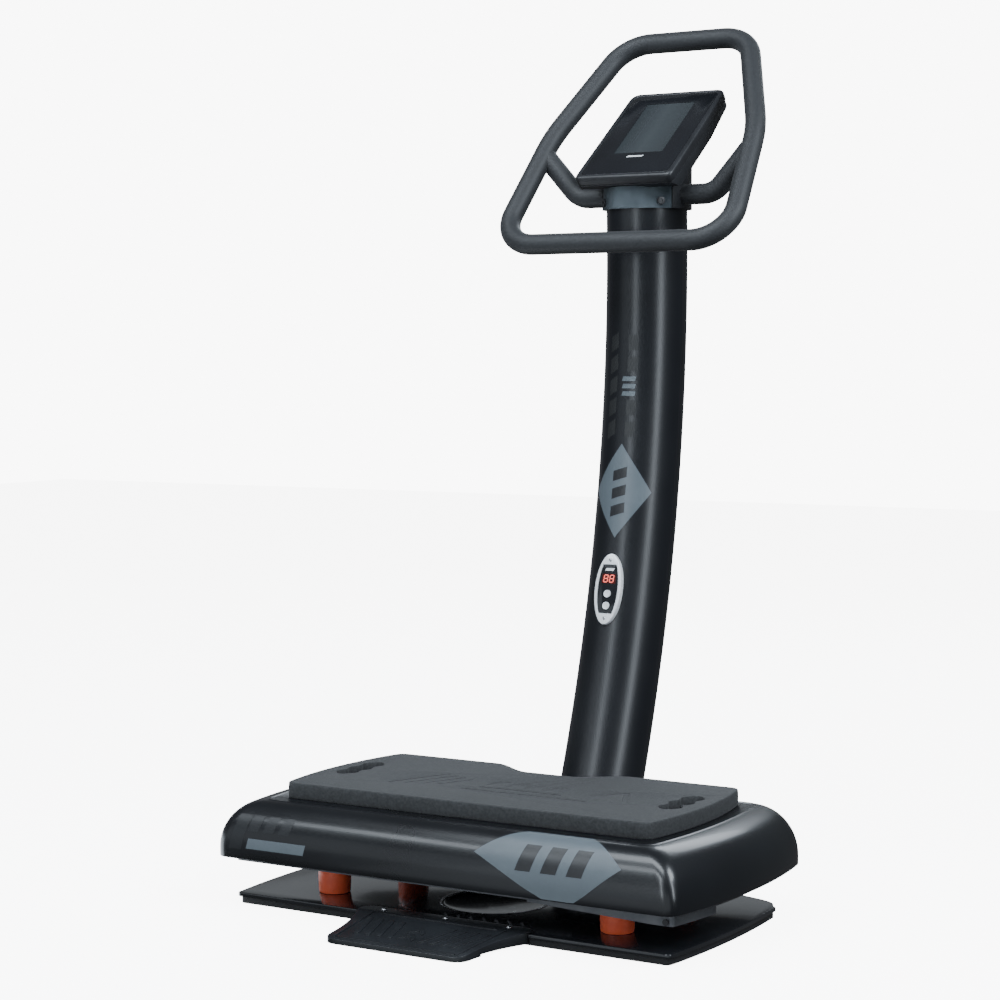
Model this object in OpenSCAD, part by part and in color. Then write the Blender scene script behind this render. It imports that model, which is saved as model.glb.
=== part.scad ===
// Vibration plate: a platform on four rubber dampers over a steel base, with a curved column
// that carries a console and a padded handlebar loop.
// X points to the machine's right, Y to its rear and Z up. The origin is on the floor under
// the middle of the platform.

/* [Base] */
// Thickness of the steel base plate with its rubber underlay
base_h = 18; // [16:1:24]
// Thickness of the rubber underlay
underlay_h = 11; // [9:1:12]
// Half width of the base at its front corners
base_hw = 393; // [380:1:400]
// Front edge of the base plate
base_front = -197; // [-205:1:-190]
// Radius of the round dish in the base
dish_r = 88; // [70:1:92]
// Middle of the dish, measured back from the platform's middle
dish_y = -40; // [-50:1:-30]

/* [Foot pad] */
// Half width of the pad where it meets the base
pad_rear_hw = 155; // [140:1:165]
// Half width of the pad at its front edge
pad_front_hw = 124; // [110:1:130]
// Front edge of the pad
pad_front = -336; // [-345:1:-325]
// Height of the pad's front edge
pad_edge_h = 8; // [7:1:10]

/* [Dampers] */
// Radius of a rubber damper
damper_r = 25.5; // [22:0.5:30]
// Height of a rubber damper
damper_h = 48; // [46:1:50]
// Distance of the dampers from the middle, to the side
damper_x = 260; // [250:1:270]
// Distance of the dampers from the middle, to the front and to the rear
damper_y = 112; // [105:1:118]

/* [Platform] */
// Half width of the cover at its front corners
shell_hw = 411; // [405:1:415]
// Front edge of the cover
shell_front = -226; // [-230:1:-220]
// Rear edge of the cover
shell_rear = 205; // [200:1:210]
// Height of the cover's lower edge
shell_z0 = 80; // [79:1:84]
// Height of the cover's flat top
shell_z1 = 169; // [165:1:172]
// Wall of the cover
shell_wall = 4; // [3:0.5:5]
// Thickness of the mat
mat_h = 26; // [20:1:30]
// Half width of the mat at its front corners
mat_hw = 330; // [320:1:335]
// Front edge of the mat
mat_front = -146; // [-150:1:-140]
// Rear edge of the mat
mat_rear = 176; // [170:1:180]

/* [Column] */
// Outside radius of the column tube
column_r = 70; // [65:1:72]
// Wall of the column tube
column_wall = 4; // [3:0.5:5]
// Radius of the column's bend
column_bend = 2570; // [2500:10:2700]
// Distance of the column's upper end behind the platform's middle
column_y = 470; // [465:1:475]
// Height at which the bend is upright
bend_top = 1058; // [1040:1:1070]
// Height of the column tube's top
column_top = 1129; // [1110:1:1140]

/* [Handlebar] */
// Radius over the foam of the handlebar
foam_r = 18; // [16:0.5:20]
// Outside radius of the handlebar's steel tube
bar_r = 12.7; // [11:0.1:13.5]
// Wall of the handlebar's steel tube
bar_wall = 2; // [1.5:0.5:3]
// Tilt of the loop from level
loop_tilt = 52; // [48:1:56]
// Half width of the loop at its lower bar
loop_hw = 222.5; // [215:0.5:230]
// Half width of the loop at its upper bar
loop_top_hw = 121.6; // [115:0.1:128]
// Length of the loop along its slope
loop_len = 464; // [450:1:480]

/* [Console] */
// Half width of the console
console_hw = 94; // [88:1:100]
// Tilt of the console's face from level
console_tilt = 37; // [35:1:40]
// Length of the console's face
console_len = 268; // [255:1:275]
// Thickness of the console
console_h = 36; // [32:1:38]
// Width of the grey display
lcd_w = 95; // [80:1:110]
// Length of the grey display
lcd_l = 156; // [140:1:165]

/* [Column display] */
// Height of the middle of the oval display
oval_z = 480; // [460:1:500]
// Width of the oval display
oval_w = 50; // [46:1:54]
// Length of the oval display
oval_l = 122; // [116:1:128]
// Radius of a push button
button_r = 6.5; // [5:0.5:8]

/* [Hidden] */

$fn = 48;
e = 0.3;                        // clearance between pieces that do not fit together
side = [-1, 1];
corners = [[-1, -1], [1, -1], [-1, 1], [1, 1]];

// ---- outlines ----

function smooth(t) = t * t * (3 - 2 * t);
function bezier(a, b, c, n) =
    [for (i = [0:n]) let(t = i / n) a * (1 - t) * (1 - t) + b * 2 * t * (1 - t) + c * t * t];
function mirrored(half) = concat([for (i = [len(half) - 1:-1:0]) [-half[i][0], half[i][1]]], half);

// Half width at y of an end that bows out from hw at the front corner to hw + bow.
function end_x(y, front, hw, bow) =
    let(l = -front, r = (l * l + bow * bow) / (2 * bow)) hw + bow - r + sqrt(r * r - y * y);

// Rear edge at x: the middle steps forward by depth between the half widths outer and inner.
function rear_y(x, rear, depth, outer, inner) =
    rear - depth * smooth(min(1, max(0, (outer - x) / (outer - inner))));

// Outline of the platform family: straight front, bowed ends and a rear edge with a notch for
// the column. s moves the front and the ends in, t moves the rear edge in.
function deck_outline(front, rear, hw, bow, depth, outer, inner, s, t, r) =
    let(
        f = front + s,
        b = rear - t,
        x0 = end_x(f, front, hw, bow) - s,
        x1 = end_x(b, front, hw, bow) - s
    )
    mirrored(concat(
        bezier([x0 - r, f], [x0, f], [end_x(f + r, front, hw, bow) - s, f + r], 4),
        [for (i = [1:8]) let(y = f + r + (b - f - 2 * r) * i / 9) [end_x(y, front, hw, bow) - s, y]],
        bezier([end_x(b - r, front, hw, bow) - s, b - r], [x1, b], [x1 - r, b], 4),
        [for (i = [0:9]) let(x = outer + (inner - outer) * i / 9)
            [x, rear_y(x, b, depth, outer, inner)]]
    ));

function shell_outline(s, t, ends = 0) =
    deck_outline(shell_front, shell_rear, shell_hw - ends, 26, 48, 145, 45, s, t, 20);
function mat_outline(s) = deck_outline(mat_front, mat_rear, mat_hw, 16, 47, 130, 40, s, s, 14);
pan_front = -193;
function pan_outline(s) = deck_outline(pan_front, 186, 396, 20, 46, 160, 110, s, s, 6);

// Rectangle with rounded corners, centred.
function rounded(w, l, r, n = 6) =
    [for (q = [0:3], i = [0:n]) let(a = q * 90 + i * 90 / n)
        [(q == 0 || q == 3 ? 1 : -1) * (w / 2 - r) + r * cos(a),
         (q < 2 ? 1 : -1) * (l / 2 - r) + r * sin(a)]];

function at_z(points, z) = [for (p = points) [p[0], p[1], z]];

// Closed solid through a list of rings with equal point counts.
module loft(rings) {
    n = len(rings[0]);
    m = len(rings);
    polyhedron(
        points = [for (ring = rings) each ring],
        faces = concat(
            [[for (i = [n - 1:-1:0]) i]],
            [for (k = [0:m - 2], i = [0:n - 1])
                [k * n + i, k * n + (i + 1) % n, (k + 1) * n + (i + 1) % n, (k + 1) * n + i]],
            [[for (i = [0:n - 1]) (m - 1) * n + i]]
        ),
        convexity = 6
    );
}

// ---- fasteners and tubes ----

// Screw with its head on z = 0 and its shank below.
module screw(head_r, head_h, shank_r, shank_l) {
    cylinder(r = head_r, h = head_h);
    translate([0, 0, -shank_l]) cylinder(r = shank_r, h = shank_l + 0.01);
}

module hex(across, h) cylinder(d = across / cos(30), h = h, $fn = 6);

module hex_bolt(across, head_h, shank_r, shank_l) {
    hex(across, head_h);
    translate([0, 0, -shank_l]) cylinder(r = shank_r, h = shank_l + 0.01);
}

module ring(ro, ri, h) {
    difference() {
        cylinder(r = ro, h = h);
        translate([0, 0, -1]) cylinder(r = ri, h = h + 2);
    }
}

module annulus(ro, ri) {
    difference() {
        circle(r = ro);
        if (ri > 0) circle(r = ri);
    }
}

function unit(v) = v / norm(v);
function turn(a, b) = atan2(a[0] * b[1] - a[1] * b[0], a * b);

// Stations [x, y, heading] along the corners p, with the bend radii r at the inner corners.
function bent_path(p, r) =
    let(
        last = len(p) - 1,
        dirs = [for (i = [0:last - 1]) unit(p[i + 1] - p[i])],
        turns = [for (i = [0:last]) i == 0 || i == last ? 0 : turn(dirs[i - 1], dirs[i])]
    )
    concat(
        [[p[0][0], p[0][1], heading(dirs[0])]],
        [for (i = [1:last - 1])
            let(
                n = max(3, ceil(abs(turns[i]) / 11)),
                a = p[i] - dirs[i - 1] * r[i] * tan(abs(turns[i]) / 2),
                s = sign(turns[i]),
                h = heading(dirs[i - 1]),
                centre = a + s * r[i] * [-sin(h), cos(h)]
            )
            each [for (k = [0:n]) let(t = h + turns[i] * k / n)
                [centre[0] + s * r[i] * sin(t), centre[1] - s * r[i] * cos(t), t]]],
        [[p[last][0], p[last][1], heading(dirs[last - 1])]]
    );

function heading(d) = atan2(d[1], d[0]);

function ring_at(station, r, n) =
    [for (j = [0:n - 1]) let(t = 360 * j / n, h = station[2])
        [station[0] - r * cos(t) * sin(h), station[1] + r * cos(t) * cos(h), r * sin(t)]];

// Tube along the stations: its outer skin from end to end, then its bore back again.
module sweep_tube(path, ro, ri, n = 20) {
    last = len(path) - 1;
    rings = concat(
        [for (k = [0:last]) ring_at(path[k], ro, n)],
        [for (k = [last:-1:0]) ring_at(path[k], ri, n)]
    );
    m = len(rings);
    polyhedron(
        points = [for (ring = rings) each ring],
        faces = [for (k = [0:m - 1], i = [0:n - 1])
            let(a = k * n, b = (k + 1) % m * n, j = (i + 1) % n) [a + i, a + j, b + j, b + i]],
        convexity = 6
    );
}

// ---- base ----

underlay_z = underlay_h;
underlay_inset = 4;
dish_floor = 5;
foot_rear = 452;
foot_hw = 132;
screw_y = -184;
pad_screw_x = 114;

function base_outline(s) = mirrored(concat(
    bezier([base_hw - s - 8, base_front + s], [base_hw - s, base_front + s],
        [end_x(base_front + 8, base_front, base_hw, 13) - s, base_front + s + 8], 4),
    [for (i = [1:8]) let(y = base_front + 8 + (178 - base_front - 16) * i / 9)
        [end_x(y, base_front, base_hw, 13) - s, y]],
    bezier([388 - s, 160], [386 - s, 180 - s], [350 - s, 190 - s], 4),
    bezier([300 - s, 204 - s], [180 - s, 238 - s], [foot_hw - s, 330], 6),
    bezier([foot_hw - s, foot_rear - 30], [foot_hw - s, foot_rear - s],
        [foot_hw - 30, foot_rear - s], 5)
));

module base_plate() {
    color([0.09, 0.10, 0.11])
    difference() {
        translate([0, 0, underlay_z]) linear_extrude(base_h - underlay_z) polygon(base_outline(0));
        translate([0, dish_y, 0]) cylinder(r = dish_r, h = 40);
        for (c = corners)
            translate([c[0] * damper_x, c[1] * damper_y, 0]) cylinder(r = 5.5, h = 40);
        for (x = [-1:1])
            translate([x * pad_screw_x, screw_y, 0]) cylinder(r = 2.6, h = 40);
        for (c = corners)
            translate([c[0] * foot_bolt_x, foot_mid_y + c[1] * foot_bolt_y, 0])
                cylinder(r = 6.2, h = 40);
    }
}

module base_underlay() {
    color([0.05, 0.05, 0.06])
    difference() {
        linear_extrude(underlay_z) polygon(base_outline(underlay_inset));
        translate([0, dish_y, dish_floor]) cylinder(r = dish_r, h = 40);
        for (c = corners)
            translate([c[0] * damper_x, c[1] * damper_y, -1]) cylinder(r = 5.5, h = 40);
    }
}

// Shallow polished bowl set into the base.
module base_dish() {
    depth = base_h - dish_floor;
    color([0.06, 0.07, 0.08])
    translate([0, dish_y, dish_floor])
        rotate_extrude($fn = 96)
            polygon(concat(
                [[0, 0], [dish_r - 3.4, 0], [dish_r - 3.4, depth - 1]],
                [for (i = [1:10]) let(a = 90 * i / 10)
                    [(dish_r - 6) * cos(a), depth - 1 - (depth - 3) * sin(a)]]
            ));
}

module dish_rim() {
    color([0.75, 0.76, 0.78])
    translate([0, dish_y, dish_floor]) ring(dish_r - 0.1, dish_r - 3.3, base_h - dish_floor + 0.6);
}

// Ramp in front of the base: a thin front edge, a sole under its front and a flange that
// lies on the base plate.
module foot_pad() {
    flange_h = 3;
    sole_y = -285;
    plan = mirrored(concat(
        bezier([pad_front_hw - 24, pad_front], [pad_front_hw, pad_front],
            [pad_front_hw + 1, pad_front + 24], 6),
        [for (i = [1:8]) let(t = i / 8)
            [pad_front_hw + 1 + (pad_rear_hw - pad_front_hw - 1) * t * t,
             pad_front + 24 + (-197 - pad_front - 24) * t]],
        bezier([pad_rear_hw - 1, -186], [pad_rear_hw - 3, -172], [pad_rear_hw - 20, -172], 4)
    ));
    color([0.10, 0.11, 0.12])
    difference() {
        intersection() {
            linear_extrude(40) polygon(plan);
            rotate([90, 0, 90])
                translate([0, 0, -200])
                    linear_extrude(400)
                        polygon([
                            [-171, base_h], [-171, base_h + flange_h],
                            [-200, base_h + flange_h], [pad_front - 1, pad_edge_h],
                            [pad_front - 1, 0], [sole_y, 0], [sole_y, 3],
                            [base_front - 1, 3], [base_front - 1, base_h]
                        ]);
        }
        for (x = [-1:1])
            translate([x * pad_screw_x, screw_y, 0]) cylinder(r = 2.6, h = 40);
    }
}

module foot_pad_screws() {
    color([0.55, 0.56, 0.58])
    for (x = [-1:1])
        translate([x * pad_screw_x, screw_y, base_h + 3]) screw(4.5, 2.4, 2.4, 9);
}

// ---- dampers ----

damper_z1 = base_h + damper_h;

module damper(c) {
    color([0.80, 0.28, 0.16])
    translate([c[0] * damper_x, c[1] * damper_y, base_h]) {
        cylinder(r = damper_r, h = damper_h);
    }
}

module front_left_damper() damper([-1, -1]);
module front_right_damper() damper([1, -1]);
module rear_left_damper() damper([-1, 1]);
module rear_right_damper() damper([1, 1]);

cap_h = 3;

// Steel plates that are bonded on the dampers, with the studs that pass the pan.
module damper_caps() {
    color([0.62, 0.63, 0.65])
    for (c = corners)
        translate([c[0] * damper_x, c[1] * damper_y, damper_z1 + 0.3]) {
            cylinder(r = damper_r + 2, h = cap_h);
            translate([0, 0, cap_h - 0.01]) cylinder(r = 5, h = 22);
        }
}

module damper_nuts() {
    color([0.62, 0.63, 0.65])
    for (c = corners)
        translate([c[0] * damper_x, c[1] * damper_y, pan_z1])
            difference() {
                hex(17, 8);
                translate([0, 0, -1]) cylinder(r = 5.02, h = 12);
            }
}

// ---- platform ----

pan_z0 = damper_z1 + cap_h + 0.3;
pan_z1 = pan_z0 + 5;
lip_z = 58;
lip_wall = 4;
lip_x = 150;
well_hx = 185;
well_y0 = -100;
well_y1 = 42;
rail_bolt_x = 385;
rail_bolt_z = 64;
plate_z1 = shell_z1 - shell_wall;
plate_z0 = plate_z1 - 6;

// Folded steel pan with a lip at its right front corner, deepest at the corner.
module deck_pan() {
    color([0.34, 0.36, 0.38])
    difference() {
        union() {
            translate([0, 0, pan_z0]) linear_extrude(pan_z1 - pan_z0) polygon(pan_outline(0));
            translate([0, 0, lip_z])
                linear_extrude(pan_z0 - lip_z + 0.01)
                    difference() {
                        polygon(pan_outline(0));
                        polygon(pan_outline(lip_wall));
                        translate([-500, -300]) square([500 + lip_x, 600]);
                        translate([0, -86]) square([500, 400]);
                    }
        }
        rotate([90, 0, 0])
            linear_extrude(300)
                polygon([[lip_x - 1, 0], [lip_x - 1, pan_z0 - 3], [rail_bolt_x - 25, lip_z],
                    [rail_bolt_x - 25, 0]]);
        translate([-well_hx, well_y0, 0]) cube([2 * well_hx, well_y1 - well_y0, 200]);
        for (c = corners)
            translate([c[0] * damper_x, c[1] * damper_y, 0]) cylinder(r = 5.02, h = 200);
        translate([rail_bolt_x, -150, rail_bolt_z])
            rotate([90, 0, 0]) cylinder(r = 4.2, h = 100);
        for (c = corners)
            translate([c[0] * motor_bolt_x, motor_y + c[1] * motor_bolt_y, 0])
                cylinder(r = 5.2, h = 200);
    }
}

// Bolt in the lip at the platform's right front corner.
module rail_bolt() {
    color([0.72, 0.73, 0.75])
    translate([rail_bolt_x, pan_front, rail_bolt_z])
        rotate([90, 0, 0]) screw(5, 3, 4.1, 12);
}

// Upright ribs that carry the deck plate on the pan.
rib_y = [-150, 66];

module deck_ribs() {
    t = 5;
    color([0.30, 0.31, 0.33])
    difference() {
        translate([0, 0, pan_z1])
            linear_extrude(plate_z0 - pan_z1)
                union() {
                    for (y = rib_y) translate([-340, y]) square([680, t]);
                    for (x = [-205, 200]) translate([x, -170]) square([t, 290]);
                    for (x = [-335, 330]) translate([x, -170]) square([t, 290]);
                }
        for (y = rib_y, x = [-270, 270])
            translate([x, y - 5, (pan_z1 + plate_z0) / 2]) rotate([-90, 0, 0]) cylinder(r = 18, h = 20);
    }
}

module deck_plate() {
    color([0.30, 0.31, 0.33])
    translate([0, 0, plate_z0])
        linear_extrude(plate_z1 - plate_z0)
            polygon(deck_outline(-160, 165, 345, 14, 46, 160, 90, 0, 0, 10));
}

// Moulded cover: upright at its foot, then a quarter of an ellipse in to the flat top.
module shell() {
    curve_z = 95;
    inset = 50;
    end_inset = 70;
    rear_inset = 10;
    steps = 10;
    levels = [for (i = [0:steps]) let(a = 90 - 90 * i / steps) [1 - cos(a), sin(a)]];
    outer = concat(
        [for (l = levels)
            at_z(shell_outline(inset * l[0], rear_inset * l[0], (end_inset - inset) * l[0]),
                curve_z + (shell_z1 - curve_z) * l[1])],
        [at_z(shell_outline(0, 0), shell_z0)]
    );
    inner = concat(
        [at_z(shell_outline(shell_wall, shell_wall), shell_z0)],
        [for (i = [steps:-1:0]) let(l = levels[i])
            at_z(shell_outline(shell_wall + inset * l[0], shell_wall + rear_inset * l[0],
                    (end_inset - inset) * l[0]),
                curve_z + (shell_z1 - shell_wall - curve_z) * l[1])]
    );
    color([0.11, 0.12, 0.13]) loft(concat(outer, inner));
}

// Strap slot: a long opening with a wide waist and a narrow tab at each end.
module slot_shape() {
    square([34, 92], center = true);
    square([14, 120], center = true);
    circle(r = 23);
}

slot_x = 300;
slot_y = 20;
mat_z1 = shell_z1 + mat_h;

module mat() {
    round_in = 2.5;
    color([0.27, 0.29, 0.30])
    difference() {
        loft([
            at_z(mat_outline(0), shell_z1),
            at_z(mat_outline(0), mat_z1 - round_in),
            at_z(mat_outline(round_in * 0.3), mat_z1 - round_in * 0.3),
            at_z(mat_outline(round_in), mat_z1)
        ]);
        for (x = side)
            translate([x * slot_x, slot_y, shell_z1 - 1]) linear_extrude(mat_h + 5) slot_shape();
    }
}

// Steel staple across each strap slot.
module strap_bars() {
    bar = 4;
    post_x = 11;
    color([0.60, 0.61, 0.63])
    for (s = side, y = [-26, 26])
        translate([s * slot_x, slot_y + y, shell_z1]) {
            for (x = side) translate([x * post_x, 0, 0]) cylinder(r = bar, h = 13);
            translate([-post_x - bar, 0, 13]) rotate([0, 90, 0])
                cylinder(r = bar, h = 2 * (post_x + bar));
        }
}

// ---- vibration motor ----

motor_y = -30;
motor_z = 100;
motor_bolt_x = 70;
motor_bolt_y = 80;
motor_r = 54;
motor_hl = 95;
shield_t = 14;
shaft_r = 12;
shaft_fit = 0.03;
bearing_r = 26;
cap_l = 44;

module along_x(x = 0) translate([x, motor_y, motor_z]) rotate([0, 90, 0]) children();

module motor_housing() {
    foot_w = 30;
    color([0.45, 0.46, 0.48])
    difference() {
        union() {
            along_x(-motor_hl) cylinder(r = motor_r, h = 2 * motor_hl);
            for (c = corners)
                translate([c[0] * motor_bolt_x - foot_w / 2, c[1] > 0 ? motor_y : well_y0 - 20, pan_z1])
                    cube([foot_w, 92, 10]);
            for (k = [-3:3])
                translate([k * 24 - 2.5, motor_y - 50, motor_z - 58]) cube([5, 100, 30]);
        }
        along_x(-motor_hl - 1) cylinder(r = motor_r - 6, h = 2 * motor_hl + 2);
        for (c = corners)
            translate([c[0] * motor_bolt_x, motor_y + c[1] * motor_bolt_y, 0])
                cylinder(r = 5.2, h = 200);
    }
}

module motor_bolts() {
    color([0.72, 0.73, 0.75])
    for (c = corners)
        translate([c[0] * motor_bolt_x, motor_y + c[1] * motor_bolt_y, pan_z1 + 10])
            hex_bolt(16, 7, 5, 16);
}

module motor_shields() {
    color([0.50, 0.51, 0.53])
    for (x = [-motor_hl - shield_t, motor_hl]) along_x(x) ring(motor_r, bearing_r, shield_t);
}

module motor_bearings() {
    color([0.78, 0.79, 0.80])
    for (x = [-motor_hl - shield_t, motor_hl])
        along_x(x) ring(bearing_r, shaft_r + shaft_fit, shield_t);
}

module motor_stator() {
    color([0.55, 0.33, 0.18])
    along_x(-60) ring(motor_r - 6, 38.6, 120);
}

module motor_caps() {
    color([0.45, 0.46, 0.48])
    for (s = side)
        translate([s > 0 ? motor_hl + shield_t : -motor_hl - shield_t, motor_y, motor_z])
            rotate([0, s * 90, 0])
                difference() {
                    cylinder(r = motor_r, h = cap_l);
                    translate([0, 0, -1]) cylinder(r = motor_r - 4, h = cap_l - 3);
                }
}

module motor_shaft() {
    half = motor_hl + shield_t + 34;
    color([0.75, 0.76, 0.78]) along_x(-half) cylinder(r = shaft_r, h = 2 * half);
}

module rotor_core() {
    color([0.58, 0.59, 0.61]) along_x(-60) ring(38, shaft_r, 120);
}

// Half discs that throw the platform up and down as the shaft turns.
module eccentric_weights() {
    color([0.30, 0.30, 0.32])
    for (x = [-motor_hl - shield_t - 30, motor_hl + shield_t + 4])
        along_x(x)
            difference() {
                union() {
                    intersection() {
                        cylinder(r = 44, h = 26);
                        translate([0, -50, -1]) cube([50, 100, 30]);
                    }
                    cylinder(r = 20, h = 26);
                }
                translate([0, 0, -1]) cylinder(r = shaft_r, h = 30);
            }
}

// ---- column ----

function column_at(z) =
    column_y - column_bend + sqrt(pow(column_bend, 2) - pow(bend_top - z, 2));
function column_slope(z) = asin((bend_top - z) / column_bend);

foot_t = 8;
foot_z1 = base_h + foot_t;
foot_mid_y = 285;
foot_bolt_x = 98;
foot_bolt_y = 72;
foot_len = 176;
foot_w = 240;

// Sweeps its 2D child, drawn about the column's centre line, along the bend from z0 to z1.
module along_column(z0, z1) {
    translate([0, column_y - column_bend, bend_top])
        rotate([0, 0, 90]) rotate([90, 0, 0])
            rotate([0, 0, -column_slope(z0)])
                rotate_extrude(angle = column_slope(z0) - column_slope(z1), $fn = 360)
                    translate([column_bend, 0]) children();
}

module column_foot() {
    color([0.10, 0.11, 0.12])
    difference() {
        translate([0, foot_mid_y, base_h]) linear_extrude(foot_t) polygon(rounded(foot_w, foot_len, 16));
        for (c = corners)
            translate([c[0] * foot_bolt_x, foot_mid_y + c[1] * foot_bolt_y, 0])
                cylinder(r = 6.2, h = 60);
        translate([0, column_at(foot_z1), 0]) cylinder(r = 40, h = 60);
    }
}

module column_foot_bolts() {
    color([0.62, 0.63, 0.65])
    for (c = corners)
        translate([c[0] * foot_bolt_x, foot_mid_y + c[1] * foot_bolt_y, foot_z1])
            hex_bolt(19, 8, 6, 14);
}

// Steel webs that brace the tube on its foot, at both sides.
module column_gussets() {
    t = 8;
    h = 30;
    color([0.10, 0.11, 0.12])
    for (s = side)
        translate([0, column_at(foot_z1) + 6 + t / 2, foot_z1])
            rotate([90, 0, 0])
                linear_extrude(t)
                    polygon([[s * (column_r + e), 0], [s * 116, 0], [s * 116, 6],
                        [s * (column_r + 8), h], [s * (column_r + e), h]]);
}

module column() {
    color([0.11, 0.12, 0.13])
    difference() {
        along_column(foot_z1 - 45, column_top + 10) annulus(column_r, column_r - column_wall);
        translate([-200, 0, foot_z1 - 200]) cube([400, 500, 200]);
        translate([-200, 300, column_top]) cube([400, 300, 50]);
        on_column(0) linear_extrude(60, center = true) polygon(rounded(30, 88, 14));
        oval_screw_holes();
    }
}

module column_wiring() {
    color([0.06, 0.06, 0.07])
    along_column(70, column_top - 20) translate([-40, 0]) circle(r = 4, $fn = 24);
}

// ---- rear cover with mains inlet ----

box_y0 = 376;
box_y1 = 442;
box_hw = 68;
box_h = 100;
foot_top = base_h + e;
box_t = 3;
inlet_x = -30;
switch_x = 32;
socket_z = 76;

module rear_cover() {
    color([0.10, 0.11, 0.12])
    difference() {
        translate([-box_hw, box_y0, foot_top]) cube([2 * box_hw, box_y1 - box_y0, box_h]);
        translate([-box_hw + box_t, box_y0 + box_t, foot_top - 1])
            cube([2 * (box_hw - box_t), box_y1 - box_y0 - 2 * box_t, box_h - box_t + 1]);
        translate([inlet_x - 14, box_y1 - 10, socket_z - 11]) cube([28, 20, 22]);
        translate([switch_x - 10, box_y1 - 10, socket_z - 14]) cube([20, 20, 28]);
    }
}

// Three-pin appliance inlet with its flange on the cover.
module mains_inlet() {
    color([0.05, 0.05, 0.05])
    translate([inlet_x, box_y1, socket_z]) {
        difference() {
            union() {
                translate([-20, e, -15]) cube([40, 2.5, 30]);
                translate([-13.7, -24, -10.7]) cube([27.4, 24.5 + e, 21.4]);
            }
            translate([-11, -16, -8]) cube([22, 30, 16]);
        }
        for (p = [[-6, 0], [6, 0], [0, 4]])
            translate([p[0] - 1, -16.5, p[1] - 2]) cube([2, 14, 4]);
    }
}

rocker_y = box_y1 - 2;
pivot_r = 1.3;

module switch_frame() {
    color([0.05, 0.05, 0.05])
    translate([switch_x, box_y1, socket_z])
        difference() {
            union() {
                translate([-12, e, -16]) cube([24, 2.5, 32]);
                translate([-9.7, -20, -13.7]) cube([19.4, 20.5 + e, 27.4]);
            }
            translate([-8, -14, -12]) cube([16, 30, 24]);
            translate([-20, rocker_y - box_y1, 0]) rotate([0, 90, 0])
                cylinder(r = pivot_r + 0.06, h = 40);
        }
}

// Rocker that tips about a level axis through its middle.
module switch_rocker() {
    color([0.07, 0.07, 0.07])
    translate([switch_x, rocker_y, socket_z])
        rotate([0, 90, 0]) {
            linear_extrude(15.2, center = true)
                polygon([[-10, 4], [-9, -2], [9, -2], [10, 4], [9, 8.4], [0, 5.6], [-9, 6.4]]);
            cylinder(r = pivot_r, h = 18.8, center = true);
        }
}

module control_board() {
    color([0.10, 0.32, 0.18])
    translate([-50, box_y0 + 8, base_h + 20]) cube([100, 2, 60]);
}

// ---- display on the column ----

oval_axis_z = oval_z - column_r * sin(column_slope(oval_z));
oval_tilt = column_slope(oval_axis_z);
oval_edge = 5.5;
window_hl = 42;
oval_screw_y = 50;
button_y = [-8, -28.5];
digits_y = 18;

// Places its children on the front of the column, Z outward and Y up along it.
module on_column(out) {
    translate([0, column_at(oval_axis_z) - column_r * cos(oval_tilt),
            oval_axis_z + column_r * sin(oval_tilt)])
        rotate([90 - oval_tilt, 0, 0]) translate([0, 0, out]) children();
}

function oval(w, l, n = 48) =
    [for (i = [0:n - 1]) let(a = 360 * i / n) [w / 2 * cos(a), l / 2 * sin(a)]];

// Window in the bezel: an inner oval with its two ends cut off square.
module oval_window(s) {
    intersection() {
        polygon(oval(oval_w - 2 * (oval_edge + s), oval_l - 2 * (oval_edge + s)));
        square([oval_w, 2 * (window_hl - s)], center = true);
    }
}

module oval_screw_holes() {
    for (y = side) on_column(-6) translate([0, y * oval_screw_y, 0]) cylinder(r = 1.6, h = 20);
}

module display_bezel() {
    color([0.80, 0.81, 0.83])
    difference() {
        on_column(-8) linear_extrude(15) polygon(oval(oval_w, oval_l));
        on_column(-20) linear_extrude(60) oval_window(0);
        on_column(-column_r) rotate([90, 0, 0])
            translate([0, 0, -150]) cylinder(r = column_r + 1.1, h = 300, $fn = 96);
        oval_screw_holes();
    }
}

module display_panel() {
    color([0.05, 0.06, 0.07])
    difference() {
        on_column(2.2) linear_extrude(3) oval_window(0.2);
        for (y = button_y) on_column(0) translate([0, y, 0]) cylinder(r = button_r + 0.3, h = 20);
        on_column(0) translate([0, digits_y, 0]) linear_extrude(20) square([27, 17], center = true);
    }
}

module display_digits() {
    color([0.80, 0.10, 0.08])
    on_column(1.5) translate([0, digits_y, 0])
        linear_extrude(3.4) square([26.4, 16.4], center = true);
}

module display_board() {
    color([0.10, 0.32, 0.18])
    on_column(-4.2) linear_extrude(1.6) polygon(rounded(24, 80, 6));
}

module display_screws() {
    color([0.70, 0.71, 0.73])
    for (y = side) on_column(7) translate([0, y * oval_screw_y, 0]) screw(3, 1.2, 1.5, 12);
}

module push_button(y) {
    color([0.86, 0.87, 0.88])
    on_column(0) translate([0, y, 1.4]) {
        cylinder(r = button_r, h = 5.6);
        translate([0, 0, -1]) cylinder(r = 2, h = 1.2);
    }
}

module button_upper() push_button(button_y[0]);
module button_lower() push_button(button_y[1]);

// ---- head of the column ----

sleeve_r = 77.6;
band_r = 75.6;
sleeve_z0 = column_top;
sleeve_z1 = 1300;
band_turn = 62;

module sector(a, r) {
    polygon(concat([[0, 0]], [for (i = [0:6]) let(t = -90 - a + i * a / 3) [r * cos(t), r * sin(t)]]));
}

// The console's underside from its front to its far end, seen from the side: [y, z].
underside = [[370, 1168], [390, 1168], [408, 1164.5], [420, 1167.6], [467, 1203],
    [532, 1252.2], [598, 1315], [612, 1332]];

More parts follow.
